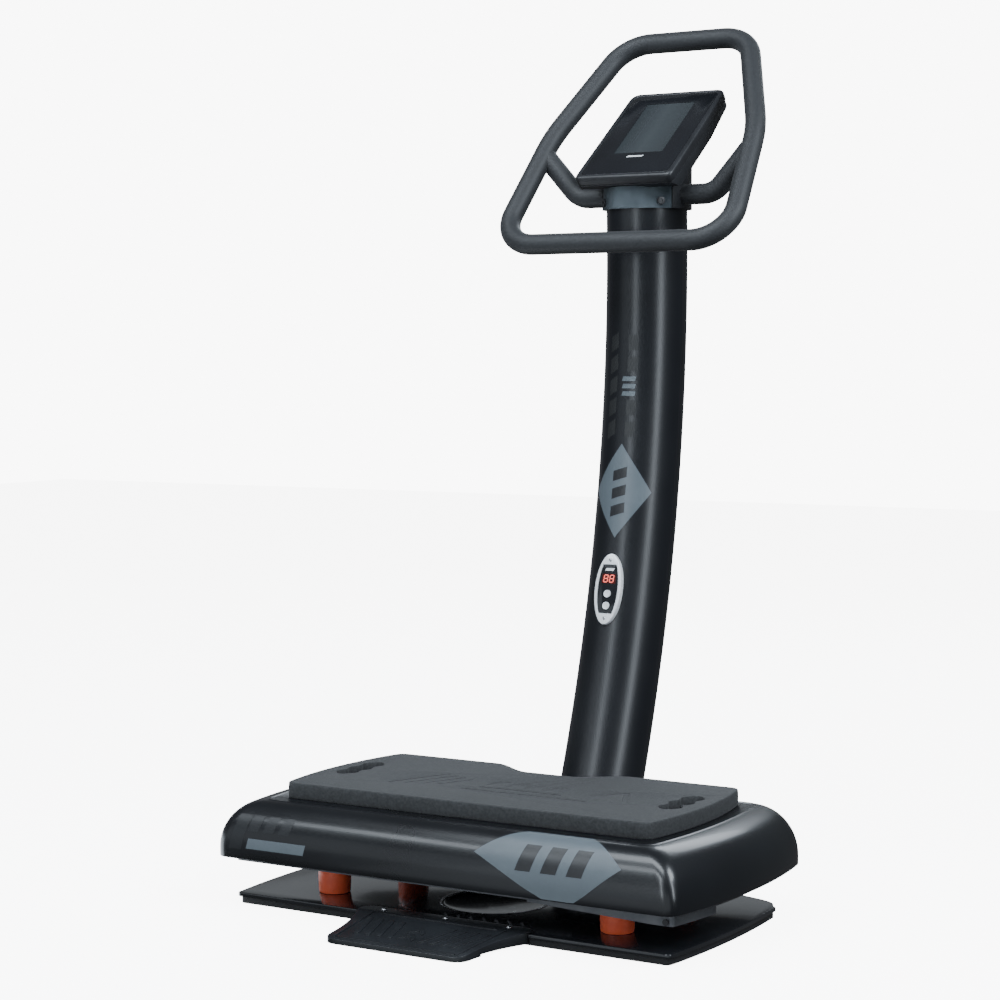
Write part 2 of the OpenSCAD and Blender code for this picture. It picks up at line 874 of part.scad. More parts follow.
// Space that the console fills, to trim what ends under it.
module under_console() {
    rotate([90, 0, 90])
        translate([0, 0, -130])
            linear_extrude(260)
                polygon(concat(
                    [[340, underside[0][1] - e]],
                    [for (i = [1:4]) underside[i] - [0, e]],
                    [[650, 1341.4 - e], [650, 1500], [340, 1500]]
                ));
}

module head_sleeve() {
    color([0.12, 0.13, 0.14])
    difference() {
        translate([0, column_y, sleeve_z0])
            linear_extrude(sleeve_z1 - sleeve_z0)
                difference() {
                    circle(r = sleeve_r, $fn = 96);
                    circle(r = column_r + 0.4, $fn = 96);
                    sector(band_turn, 120);
                }
        under_console();
        for (s = side) arm_bore(s, bar_r + 0.05);
    }
}

module clamp_band() {
    color([0.34, 0.36, 0.38])
    difference() {
        translate([0, column_y, sleeve_z0])
            linear_extrude(60)
                intersection() {
                    annulus(band_r, column_r + 0.4, $fn = 96);
                    sector(band_turn - 0.4, 120);
                }
        under_console();
        for (s = side) clamp_place(s) translate([0, 0, -20]) cylinder(r = 3, h = 40);
    }
}

module clamp_place(s) {
    translate([0, column_y, 1141])
        rotate([0, 0, s * 46]) rotate([90, 0, 0]) translate([0, 0, band_r]) children();
}

module clamp_bolts() {
    color([0.15, 0.15, 0.16])
    for (s = side) clamp_place(s) screw(7, 3.4, 2.9, 5);
}

// ---- handlebar ----

loop_y = 336;
loop_z = 1069;
kink = [200, 246];
arm_y = 466;
arm_z = 1153;
arm_corner = 132;
arm_end = [203, 1232];
loop_points = [[0, 0], [loop_hw, 0], kink, [loop_top_hw, loop_len], [0, loop_len]];
loop_bends = [0, 65, 250, 70, 0];

module loop_frame() translate([0, loop_y, loop_z]) rotate([loop_tilt, 0, 0]) children();

module half_loop(s, ro, ri) {
    loop_frame() mirror([s < 0 ? 1 : 0, 0, 0]) sweep_tube(bent_path(loop_points, loop_bends), ro, ri);
}

module arm_frame(s) {
    translate([0, arm_y, 0]) mirror([s < 0 ? 1 : 0, 0, 0]) rotate([90, 0, 0]) children();
}

module arm(s, ro, ri, x0) {
    arm_frame(s) sweep_tube(bent_path([[x0, arm_z], [arm_corner, arm_z], arm_end], [0, 46, 0]), ro, ri);
}

module arm_bore(s, r) {
    translate([0, arm_y, arm_z]) rotate([0, s * 90, 0]) cylinder(r = r, h = 140);
}

// Straight side of the loop where an arm meets it.
module loop_side(s, r) {
    loop_frame() mirror([s < 0 ? 1 : 0, 0, 0])
        translate([loop_hw, 0, 0])
            rotate([0, 0, atan2(kink[1], kink[0] - loop_hw)])
                rotate([0, 90, 0]) translate([0, 0, 100]) cylinder(r = r, h = 220);
}

module arm_tubes() {
    color([0.20, 0.21, 0.22])
    for (s = side)
        difference() {
            arm(s, bar_r, bar_r - bar_wall, column_r + 1);
            loop_side(s, foam_r + 0.1);
        }
}

module arm_foam() {
    color([0.22, 0.23, 0.24])
    for (s = side)
        difference() {
            arm(s, foam_r, bar_r + 0.05, 60);
            translate([0, column_y, 1100]) cylinder(r = sleeve_r + 0.1, h = 120, $fn = 96);
            loop_side(s, foam_r + 0.1);
        }
}

module loop_tube() {
    color([0.20, 0.21, 0.22])
    for (s = side) half_loop(s, bar_r, bar_r - bar_wall);
}

module loop_foam() {
    color([0.22, 0.23, 0.24])
    for (s = side) half_loop(s, foam_r, bar_r + 0.05);
}

// ---- console ----

face_y = 377;
face_z = 1181;
seam = -15;
glass_inset = 9;
lcd_mid = 152;

// Places its children on the console's face: X across, Y up the slope, Z out of the face.
module on_face(out) {
    translate([0, face_y, face_z])
        rotate([console_tilt, 0, 0]) translate([0, 0, out]) children();
}

function face_plan(s, r) = mirrored(concat(
    bezier([console_hw - 12 - s, s], [console_hw - s, s], [console_hw - s, 12 + s], 4),
    bezier([console_hw - 1 - s, console_len - r - s], [console_hw - 2 - s, console_len - s],
        [console_hw - r - s, console_len - s], 6)
));

module console_top() {
    color([0.12, 0.13, 0.14])
    difference() {
        on_face(seam) loft([
            at_z(face_plan(0, 34), 0),
            at_z(face_plan(0, 34), -seam - 4),
            at_z(face_plan(4, 34), -seam + 2)
        ]);
        on_face(-3) linear_extrude(10) polygon(face_plan(glass_inset, 28));
        on_face(seam - 1) linear_extrude(12) polygon(face_plan(12, 28));
    }
}

module console_glass() {
    color([0.04, 0.05, 0.06])
    on_face(-2.8) linear_extrude(3.4) difference() {
        polygon(face_plan(glass_inset + 0.2, 28));
        translate([0, lcd_mid]) square([lcd_w + 0.4, lcd_l + 0.4], center = true);
    }
}

module console_lcd() {
    color([0.55, 0.58, 0.60])
    on_face(-2.8) translate([0, lcd_mid, 0])
        linear_extrude(3.6) square([lcd_w, lcd_l], center = true);
}

module console_base() {
    color([0.12, 0.13, 0.14])
    difference() {
        intersection() {
            on_face(-60) linear_extrude(60 + seam - 0.1) polygon(face_plan(1, 34));
            rotate([90, 0, 90])
                translate([0, 0, -console_hw])
                    linear_extrude(2 * console_hw)
                        polygon(concat(underside, [[612, 1400], [370, 1400]]));
        }
        on_face(-console_h + 8) linear_extrude(60) polygon(face_plan(14, 28));
    }
}

module console_board() {
    color([0.10, 0.32, 0.18])
    on_face(-11) translate([0, 140, 0]) linear_extrude(1.6) square([130, 200], center = true);
}

console_screw_at = [[-84, 100], [84, 100], [-84, 160], [84, 160]];

module console_screws() {
    color([0.15, 0.15, 0.16])
    for (p = console_screw_at)
        on_face(-console_h - 2.1) translate([p[0], p[1], 0]) cylinder(r = 3.5, h = 1.2);
}

base_plate();
base_underlay();
base_dish();
dish_rim();
foot_pad();
foot_pad_screws();
front_left_damper();
front_right_damper();
rear_left_damper();
rear_right_damper();
deck_pan();
deck_ribs();
deck_plate();
rail_bolt();
damper_caps();
damper_nuts();
shell();
mat();
strap_bars();
motor_housing();
motor_shields();
motor_bearings();
motor_stator();
motor_caps();
motor_bolts();
motor_shaft();
rotor_core();
eccentric_weights();
column_foot();
column_gussets();
column_foot_bolts();
column();
column_wiring();
rear_cover();
mains_inlet();
switch_frame();
switch_rocker();
control_board();
display_bezel();
display_panel();
display_digits();
display_board();
display_screws();
button_upper();
button_lower();
head_sleeve();
clamp_band();
clamp_bolts();
arm_tubes();
arm_foam();
loop_tube();
loop_foam();
console_base();
console_top();
console_glass();
console_lcd();
console_board();
console_screws();
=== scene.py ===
"""Looks of the vibration plate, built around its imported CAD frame."""
import math

import bmesh
import bpy
from mathutils import Matrix, Vector


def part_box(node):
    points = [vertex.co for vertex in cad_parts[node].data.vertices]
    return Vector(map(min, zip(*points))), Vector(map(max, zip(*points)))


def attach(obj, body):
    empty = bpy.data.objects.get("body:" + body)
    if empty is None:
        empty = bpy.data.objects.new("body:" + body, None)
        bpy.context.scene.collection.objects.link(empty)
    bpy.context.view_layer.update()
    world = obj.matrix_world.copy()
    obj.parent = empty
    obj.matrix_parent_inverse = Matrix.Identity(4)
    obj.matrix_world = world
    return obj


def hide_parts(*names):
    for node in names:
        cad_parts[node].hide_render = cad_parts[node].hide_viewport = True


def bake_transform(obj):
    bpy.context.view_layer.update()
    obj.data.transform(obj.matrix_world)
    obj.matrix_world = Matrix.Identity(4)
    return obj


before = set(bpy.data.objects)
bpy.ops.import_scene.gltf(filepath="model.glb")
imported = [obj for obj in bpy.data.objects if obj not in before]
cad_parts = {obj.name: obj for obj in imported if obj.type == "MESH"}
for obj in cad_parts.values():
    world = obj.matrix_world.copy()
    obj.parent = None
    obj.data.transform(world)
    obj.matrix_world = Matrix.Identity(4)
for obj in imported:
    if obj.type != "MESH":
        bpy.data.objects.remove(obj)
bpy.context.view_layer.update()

# All shapes below are written in millimetres in the frame's own axes, and scaled once on making.
MM = 0.001
Z_AXIS = Vector((0, 0, 1))
SIDES = (-1, 1)
CORNERS = [(x, y) for y in SIDES for x in SIDES]
SIDE_ON = Matrix(((0, 0, 1, 0), (1, 0, 0, 0), (0, 1, 0, 0), (0, 0, 0, 1)))


def top_of(node):
    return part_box(node)[1].z / MM


def front_of(node):
    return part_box(node)[0].y / MM


# ---- dimensions, shared with the CAD ----

# The cover: its outline, its levels and the curve over its edges.
SHELL_FRONT, SHELL_REAR, SHELL_HW, SHELL_BOW = front_of("shell"), 205, 411, 26
SHELL_NOTCH, SHELL_CORNER, SHELL_WALL = (48, 145, 45), 20, 4
SHELL_Z0, SHELL_Z1 = 80, top_of("shell")
CURVE_Z, CURVE_IN, CURVE_REAR, CURVE_ENDS = 95, 50, 10, 70
CURVE_LENGTH = 98.4

# The mat.
MAT_FRONT, MAT_REAR, MAT_HW, MAT_BOW = front_of("mat"), 176, 330, 16
MAT_NOTCH, MAT_CORNER, MAT_Z1 = (47, 130, 40), 14, top_of("mat")
SLOT_X, SLOT_Y, SLOT_HL = 300, 20, 60

# The base, its dish, its foot pad and the dampers on it.
BASE_H, UNDERLAY_H, BASE_HW, BASE_FRONT = top_of("base_plate"), 11, 393, front_of("base_plate")
BASE_BOW, BASE_CORNER, BASE_SIDE_END, FOOT_REAR, FOOT_HW = 13, 8, 170, 452, 132
DISH_R, DISH_Y, DISH_FLOOR = 88, -40, 5
PAD_FRONT, PAD_SOLE_Y, PAD_FLAT_Y, PAD_REAR = front_of("foot_pad"), -285, -200, -172
PAD_FRONT_HW, PAD_REAR_HW, PAD_CORNER, PAD_EDGE, PAD_RISE = 124, 155, 24, 8, 3
PAD_SCREW_Y, PAD_SCREW_X = -184, 114
DAMPER_X, DAMPER_Y, DAMPER_R, DAMPER_H = 260, 112, 25.5, 48

# The column, the display on it and the clamp at its head.
COLUMN_R, COLUMN_Y, COLUMN_BEND, COLUMN_BEND_TOP = 70, 470, 2570, 1058
COLUMN_Z0, COLUMN_TOP, COLUMN_WALL = 26, 1129, 4
OVAL_W, OVAL_L, OVAL_EDGE, OVAL_WINDOW, OVAL_Z = 50, 122, 5.5, 42, 480
OVAL_FACE, OVAL_SCREW, DIGITS_Y, BUTTON_Y, BUTTON_R = 7, 50, 18, (-8, -28.5), 6.5
CLAMP_R, CLAMP_Z, CLAMP_BOLT_TURN = 75.6, 1141, 46

# The handlebar.
FOAM_R, LOOP_Y, LOOP_Z, LOOP_TILT = 18, 336, 1069, 52
LOOP_POINTS = [(0, 0), (222.5, 0), (200, 246), (121.6, 464), (0, 464)]
LOOP_BENDS = [0, 65, 250, 70, 0]
ARM_Y, ARM_POINTS, ARM_BEND = 466, [(60, 1153), (132, 1153), (203, 1232)], 46

# The console and the rear cover.
CONSOLE_Y, CONSOLE_Z, CONSOLE_TILT, CONSOLE_HW, CONSOLE_L = 377, 1181, 37, 94, 268
CONSOLE_SEAM, GLASS_INSET, LCD_MID, LCD_W, LCD_L = -15, 9, 152, 95, 156
CONSOLE_CORNER = 20
CONSOLE_UNDER = [(370, 1168), (390, 1168), (408, 1164.5), (420, 1167.6), (467, 1203),
                 (532, 1252.2), (598, 1315), (612, 1332)]
BOX_Y0, BOX_Y1, BOX_HW, BOX_TOP = 376, 442, 68, top_of("rear_cover")


# ---- mesh tools ----

def new_object(name, verts, faces, at=Matrix()):
    mesh = bpy.data.meshes.new(name)
    mesh.from_pydata([(at @ Vector(v)) * MM for v in verts], [], faces)
    piece = bpy.data.objects.new(name, mesh)
    bpy.context.scene.collection.objects.link(piece)
    return piece


def loft(name, rings, closed=False, caps=True, at=Matrix()):
    """Skin through rings of equal point counts, closed on itself or with a cap at each end."""
    n, m = len(rings[0]), len(rings)
    faces = []
    for k in range(m if closed else m - 1):
        a, b = k * n, (k + 1) % m * n
        faces += [(a + i, a + (i + 1) % n, b + (i + 1) % n, b + i) for i in range(n)]
    if caps and not closed:
        faces += [tuple(range(n - 1, -1, -1)), tuple((m - 1) * n + i for i in range(n))]
    return new_object(name, [p for ring in rings for p in ring], faces, at)


def lathe(name, profile, at=Matrix(), n=72, closed=False):
    """Turned shape: profile is a list of (radius, height), from the axis and back to it."""
    turns = [2 * math.pi * i / n for i in range(n)]
    rings = [[(r * math.cos(t), r * math.sin(t), h) for t in turns] for r, h in profile]
    return loft(name, rings, closed=closed, caps=False, at=at)


def prism(name, outline, z0, z1, at=Matrix()):
    return loft(name, [[(x, y, z) for x, y in outline] for z in (z0, z1)], at=at)


def box(name, low, high, at=Matrix()):
    (x0, y0, z0), (x1, y1, z1) = low, high
    return prism(name, [(x0, y0), (x1, y0), (x1, y1), (x0, y1)], z0, z1, at)


def apply_modifiers(piece):
    graph = bpy.context.evaluated_depsgraph_get()
    mesh = bpy.data.meshes.new_from_object(piece.evaluated_get(graph))
    piece.modifiers.clear()
    piece.data = mesh


def clean(piece):
    """Merges double points and turns every face outward."""
    bm = bmesh.new()
    bm.from_mesh(piece.data)
    bmesh.ops.remove_doubles(bm, verts=bm.verts, dist=2e-6)
    bmesh.ops.dissolve_degenerate(bm, edges=bm.edges, dist=1e-6)
    bmesh.ops.recalc_face_normals(bm, faces=bm.faces)
    bm.to_mesh(piece.data)
    bm.free()


def combine(piece, operation, tools):
    clean(piece)
    for tool in tools:
        clean(tool)
        step = piece.modifiers.new("combine", "BOOLEAN")
        step.operation = operation
        step.object = tool
        step.solver = "EXACT"
    apply_modifiers(piece)
    for tool in tools:
        bpy.data.objects.remove(tool)
    return piece


def cut(piece, *tools):
    return combine(piece, "DIFFERENCE", tools)


def bevel(piece, width, segments=2, angle=40):
    clean(piece)
    edge = piece.modifiers.new("edge", "BEVEL")
    edge.width = width * MM
    edge.segments = segments
    edge.limit_method = "ANGLE"
    edge.angle_limit = math.radians(angle)
    apply_modifiers(piece)
    return piece


def shade(piece, angle=35):
    clean(piece)
    bm = bmesh.new()
    bm.from_mesh(piece.data)
    for face in bm.faces:
        face.smooth = True
    for edge in bm.edges:
        edge.smooth = len(edge.link_faces) == 2 and edge.calc_face_angle(0) < math.radians(angle)
    bm.to_mesh(piece.data)
    bm.free()


def place(piece, look, body, slot, *nodes, angle=35):
    """Gives a piece its material and its body, and hides the CAD nodes that it stands for; the slot is
    not used.
    """
    shade(piece, angle)
    piece.data.materials.clear()
    piece.data.materials.append(look)
    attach(piece, body)
    if nodes:
        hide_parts(*nodes)
    return piece


def patch(name, outline, surface, thickness, steps):
    """Thin sheet in the outline's shape, laid on a surface: surface(u, v, height) is a point."""
    bm = bmesh.new()
    bm.faces.new([bm.verts.new((u, v, 0)) for u, v in outline])
    for axis, step in enumerate(steps):
        low = min(p[axis] for p in outline)
        high = max(p[axis] for p in outline)
        count = max(1, math.ceil((high - low) / step))
        normal = Vector((axis == 0, axis == 1, 0))
        for i in range(1, count):
            where = normal * (low + (high - low) * i / count)
            geometry = bm.verts[:] + bm.edges[:] + bm.faces[:]
            bmesh.ops.bisect_plane(bm, geom=geometry, dist=1e-4, plane_co=where, plane_no=normal)
    raised = bmesh.ops.extrude_face_region(bm, geom=bm.faces[:], use_keep_orig=True)
    top = {g for g in raised["geom"] if isinstance(g, bmesh.types.BMVert)}
    for vert in bm.verts:
        height = thickness if vert in top else 0
        vert.co = Vector(surface(vert.co.x, vert.co.y, height)) * MM
    mesh = bpy.data.meshes.new(name)
    bm.to_mesh(mesh)
    bm.free()
    piece = bpy.data.objects.new(name, mesh)
    bpy.context.scene.collection.objects.link(piece)
    return piece


def moved(piece, offset, name):
    """Copy of a piece, shifted by an offset in millimetres."""
    twin = bpy.data.objects.new(name, piece.data.copy())
    twin.data.transform(Matrix.Translation(Vector(offset) * MM))
    bpy.context.scene.collection.objects.link(twin)
    return twin


def turned_to(origin, normal):
    """Matrix that stands the Z axis on the origin along the normal, with X kept level."""
    z = Vector(normal).normalized()
    x = Vector((1, 0, 0)) if abs(z.z) > 0.999 else Z_AXIS.cross(z).normalized()
    basis = Matrix((x, z.cross(x), z)).transposed()
    return Matrix.Translation(Vector(origin)) @ basis.to_4x4()


# ---- outlines ----

def smooth(t):
    t = min(1, max(0, t))
    return t * t * (3 - 2 * t)


def bezier(a, b, c, n):
    """Curve from a to c that leaves towards b, in n steps."""
    curve = []
    for i in range(n + 1):
        t = i / n
        curve.append(tuple(a[k] * (1 - t) ** 2 + b[k] * 2 * t * (1 - t) + c[k] * t * t
                           for k in (0, 1)))
    return curve


def mirrored(half):
    return [(-x, y) for x, y in reversed(half)] + half


def end_x(y, front, hw, bow):
    """Half width at y of an end that bows out from hw at the front corner to hw + bow."""
    radius = (front ** 2 + bow ** 2) / (2 * bow)
    return hw + bow - radius + math.sqrt(radius ** 2 - y ** 2)


def deck_outline(front, rear, hw, bow, notch, s, t, r):
    """Straight front, bowed ends and a rear edge that steps forward by notch = (depth, outer,
    inner) for the column. s moves the front and the ends in, t moves the rear edge in."""
    depth, outer, inner = notch
    f, b = front + s, rear - t

    def end(y):
        return end_x(y, front, hw, bow) - s

    half = bezier((end(f) - r, f), (end(f), f), (end(f + r), f + r), 8)
    for i in range(1, 19):
        y = f + r + (b - f - 2 * r) * i / 19
        half.append((end(y), y))
    half += bezier((end(b - r), b - r), (end(b), b), (end(b) - r, b), 8)
    for i in range(19):
        x = outer + (inner - outer) * i / 18
        half.append((x, b - depth * smooth((outer - x) / (outer - inner))))
    return mirrored(half)


def shell_outline(s, t, ends):
    return deck_outline(SHELL_FRONT, SHELL_REAR, SHELL_HW - ends, SHELL_BOW, SHELL_NOTCH, s, t,
                        SHELL_CORNER)


def mat_outline(s):
    return deck_outline(MAT_FRONT, MAT_REAR, MAT_HW, MAT_BOW, MAT_NOTCH, s, s, MAT_CORNER)


def base_outline(s):
    """Base plate inset by s: bowed sides, then a sweep into the narrow foot under the column."""
    def end(y):
        return end_x(y, BASE_FRONT, BASE_HW, BASE_BOW) - s

    start = BASE_FRONT + BASE_CORNER
    half = bezier((BASE_HW - s - BASE_CORNER, BASE_FRONT + s), (BASE_HW - s, BASE_FRONT + s),
                  (end(start), start + s), 6)
    for i in range(1, 17):
        y = start + (BASE_SIDE_END - start) * i / 17
        half.append((end(y), y))
    half += bezier((388 - s, 160), (386 - s, 180 - s), (350 - s, 190 - s), 8)
    half += bezier((300 - s, 204 - s), (180 - s, 238 - s), (FOOT_HW - s, 330), 14)
    half += bezier((FOOT_HW - s, FOOT_REAR - 30), (FOOT_HW - s, FOOT_REAR - s),
                   (FOOT_HW - 30, FOOT_REAR - s), 10)
    return mirrored(half)


def rounded(w, l, r, n=6):
    """Rectangle w by l about the origin, with corners of radius r."""
    points = []
    for q, (sx, sy) in enumerate(((1, 1), (-1, 1), (-1, -1), (1, -1))):
        for i in range(n + 1):
            a = math.radians(q * 90 + i * 90 / n)
            points.append((sx * (w / 2 - r) + r * math.cos(a), sy * (l / 2 - r) + r * math.sin(a)))
    return points


def slanted(x, y, w, h, lean):
    """Parallelogram bar with its lower left corner at x, y."""
    return [(x, y), (x + w, y), (x + w + lean, y + h), (x + lean, y + h)]


def edge_rings(outline, levels):
    """Rings of an outline function, one per (inset, height)."""
    return [[(x, y, z) for x, y in outline(s)] for s, z in levels]


def bent_path(points, bends, step=4):
    """Stations (x, y, heading) along corner points, with a bend radius at each inner corner."""
    points = [Vector(p) for p in points]
    directions = [(b - a).normalized() for a, b in zip(points, points[1:])]
    headings = [math.atan2(d.y, d.x) for d in directions]
    stations = [(*points[0], headings[0])]
    for i in range(1, len(points) - 1):
        turn = headings[i] - headings[i - 1]
        sign = 1 if turn > 0 else -1
        h = headings[i - 1]
        start = points[i] - directions[i - 1] * bends[i] * math.tan(abs(turn) / 2)
        centre = start + sign * bends[i] * Vector((-math.sin(h), math.cos(h)))
        count = max(4, math.ceil(abs(math.degrees(turn)) / step))
        for k in range(count + 1):
            t = h + turn * k / count
            stations.append((centre.x + sign * bends[i] * math.sin(t),
                             centre.y - sign * bends[i] * math.cos(t), t))
    stations.append((*points[-1], headings[-1]))
    return stations


def tube_rings(stations, r, side=1, n=40):
    """Circles across stations, started on the left of the heading or, with side -1, its right."""
    turns = [2 * math.pi * j / n for j in range(n)]
    return [[(x - side * r * math.cos(t) * math.sin(h), y + side * r * math.cos(t) * math.cos(h),
              r * math.sin(t)) for t in turns] for x, y, h in stations]


# ---- materials ----

def grain_texture(nodes, grain):
    """Texture node of a grain, and its output that gives the height."""
    if grain == "voronoi":
        fine = nodes.new("ShaderNodeTexVoronoi")
        return fine, fine.outputs["Distance"]
    if grain == "noise":
        fine = nodes.new("ShaderNodeTexNoise")
        fine.inputs["Detail"].default_value = 3
        return fine, fine.outputs["Fac"]
    fine = nodes.new("ShaderNodeTexWave")
    if grain == "rings":
        fine.wave_type = "RINGS"
        fine.rings_direction = "SPHERICAL"
    else:
        fine.inputs["Distortion"].default_value = 0.6
    return fine, fine.outputs["Color"]


def surface(name, tones, rough, patch_mm=60, grain_mm=1.2, bump=0.15, metallic=0.0, coat=0.0,
            sheen=0.0, grain="noise", stretch=(1, 1, 1)):
    """Two tones and two roughnesses that a soft noise mixes, with a fine grain in relief."""
    look = bpy.data.materials.new(name)
    look.use_nodes = True
    nodes, links = look.node_tree.nodes, look.node_tree.links
    shader = nodes["Principled BSDF"]
    shader.inputs["Metallic"].default_value = metallic
    shader.inputs["Coat Weight"].default_value = coat
    shader.inputs["Coat Roughness"].default_value = 0.08
    shader.inputs["Sheen Weight"].default_value = sheen
    shader.inputs["Sheen Roughness"].default_value = 0.5
    place_node = nodes.new("ShaderNodeTexCoord")
    scale_node = nodes.new("ShaderNodeMapping")
    scale_node.inputs["Scale"].default_value = stretch
    links.new(place_node.outputs["Object"], scale_node.inputs["Vector"])

    broad = nodes.new("ShaderNodeTexNoise")
    broad.inputs["Scale"].default_value = 1 / (patch_mm * MM)
    broad.inputs["Detail"].default_value = 4
    links.new(place_node.outputs["Object"], broad.inputs["Vector"])
    colours = nodes.new("ShaderNodeValToRGB")
    colours.color_ramp.elements[0].position = 0.3
    colours.color_ramp.elements[1].position = 0.7
    for element, tone in zip(colours.color_ramp.elements, tones):
        element.color = (*tone, 1)
    links.new(broad.outputs["Fac"], colours.inputs["Fac"])
    links.new(colours.outputs["Color"], shader.inputs["Base Color"])

    fine, relief = grain_texture(nodes, grain)
    fine.inputs["Scale"].default_value = 1 / (grain_mm * MM)
    links.new(scale_node.outputs["Vector"], fine.inputs["Vector"])

    gloss = nodes.new("ShaderNodeMapRange")
    gloss.inputs["To Min"].default_value, gloss.inputs["To Max"].default_value = rough
    links.new(broad.outputs["Fac"], gloss.inputs["Value"])
    links.new(gloss.outputs["Result"], shader.inputs["Roughness"])
    height = nodes.new("ShaderNodeBump")
    height.inputs["Strength"].default_value = bump
    height.inputs["Distance"].default_value = 0.3 * MM
    links.new(relief, height.inputs["Height"])
    links.new(height.outputs["Normal"], shader.inputs["Normal"])
    return look


def graded(name, tones, rough, across, low, high):
    """Smooth change between tones along an axis of the frame, from low to high in millimetres."""
    look = surface(name, (tones[0], tones[-1]), rough, bump=0.03)
    nodes, links = look.node_tree.nodes, look.node_tree.links
    place_node = nodes.new("ShaderNodeTexCoord")
    split = nodes.new("ShaderNodeSeparateXYZ")
    span = nodes.new("ShaderNodeMapRange")
    span.inputs["From Min"].default_value = low * MM
    span.inputs["From Max"].default_value = high * MM
    ramp = nodes.new("ShaderNodeValToRGB")
    ramp.color_ramp.elements[0].color = (*tones[0], 1)
    ramp.color_ramp.elements[1].color = (*tones[-1], 1)
    for i, tone in enumerate(tones[1:-1], 1):
        element = ramp.color_ramp.elements.new(i / (len(tones) - 1))
        element.color = (*tone, 1)
    links.new(place_node.outputs["Object"], split.inputs["Vector"])
    links.new(split.outputs[across], span.inputs["Value"])
    links.new(span.outputs["Result"], ramp.inputs["Fac"])
    links.new(ramp.outputs["Color"], nodes["Principled BSDF"].inputs["Base Color"])
    return look


def glowing(name, colour, strength):
    look = surface(name, (colour, [c * 0.8 for c in colour]), (0.3, 0.4), bump=0.02)
    shader = look.node_tree.nodes["Principled BSDF"]
    shader.inputs["Emission Color"].default_value = (*colour, 1)
    shader.inputs["Emission Strength"].default_value = strength
    return look


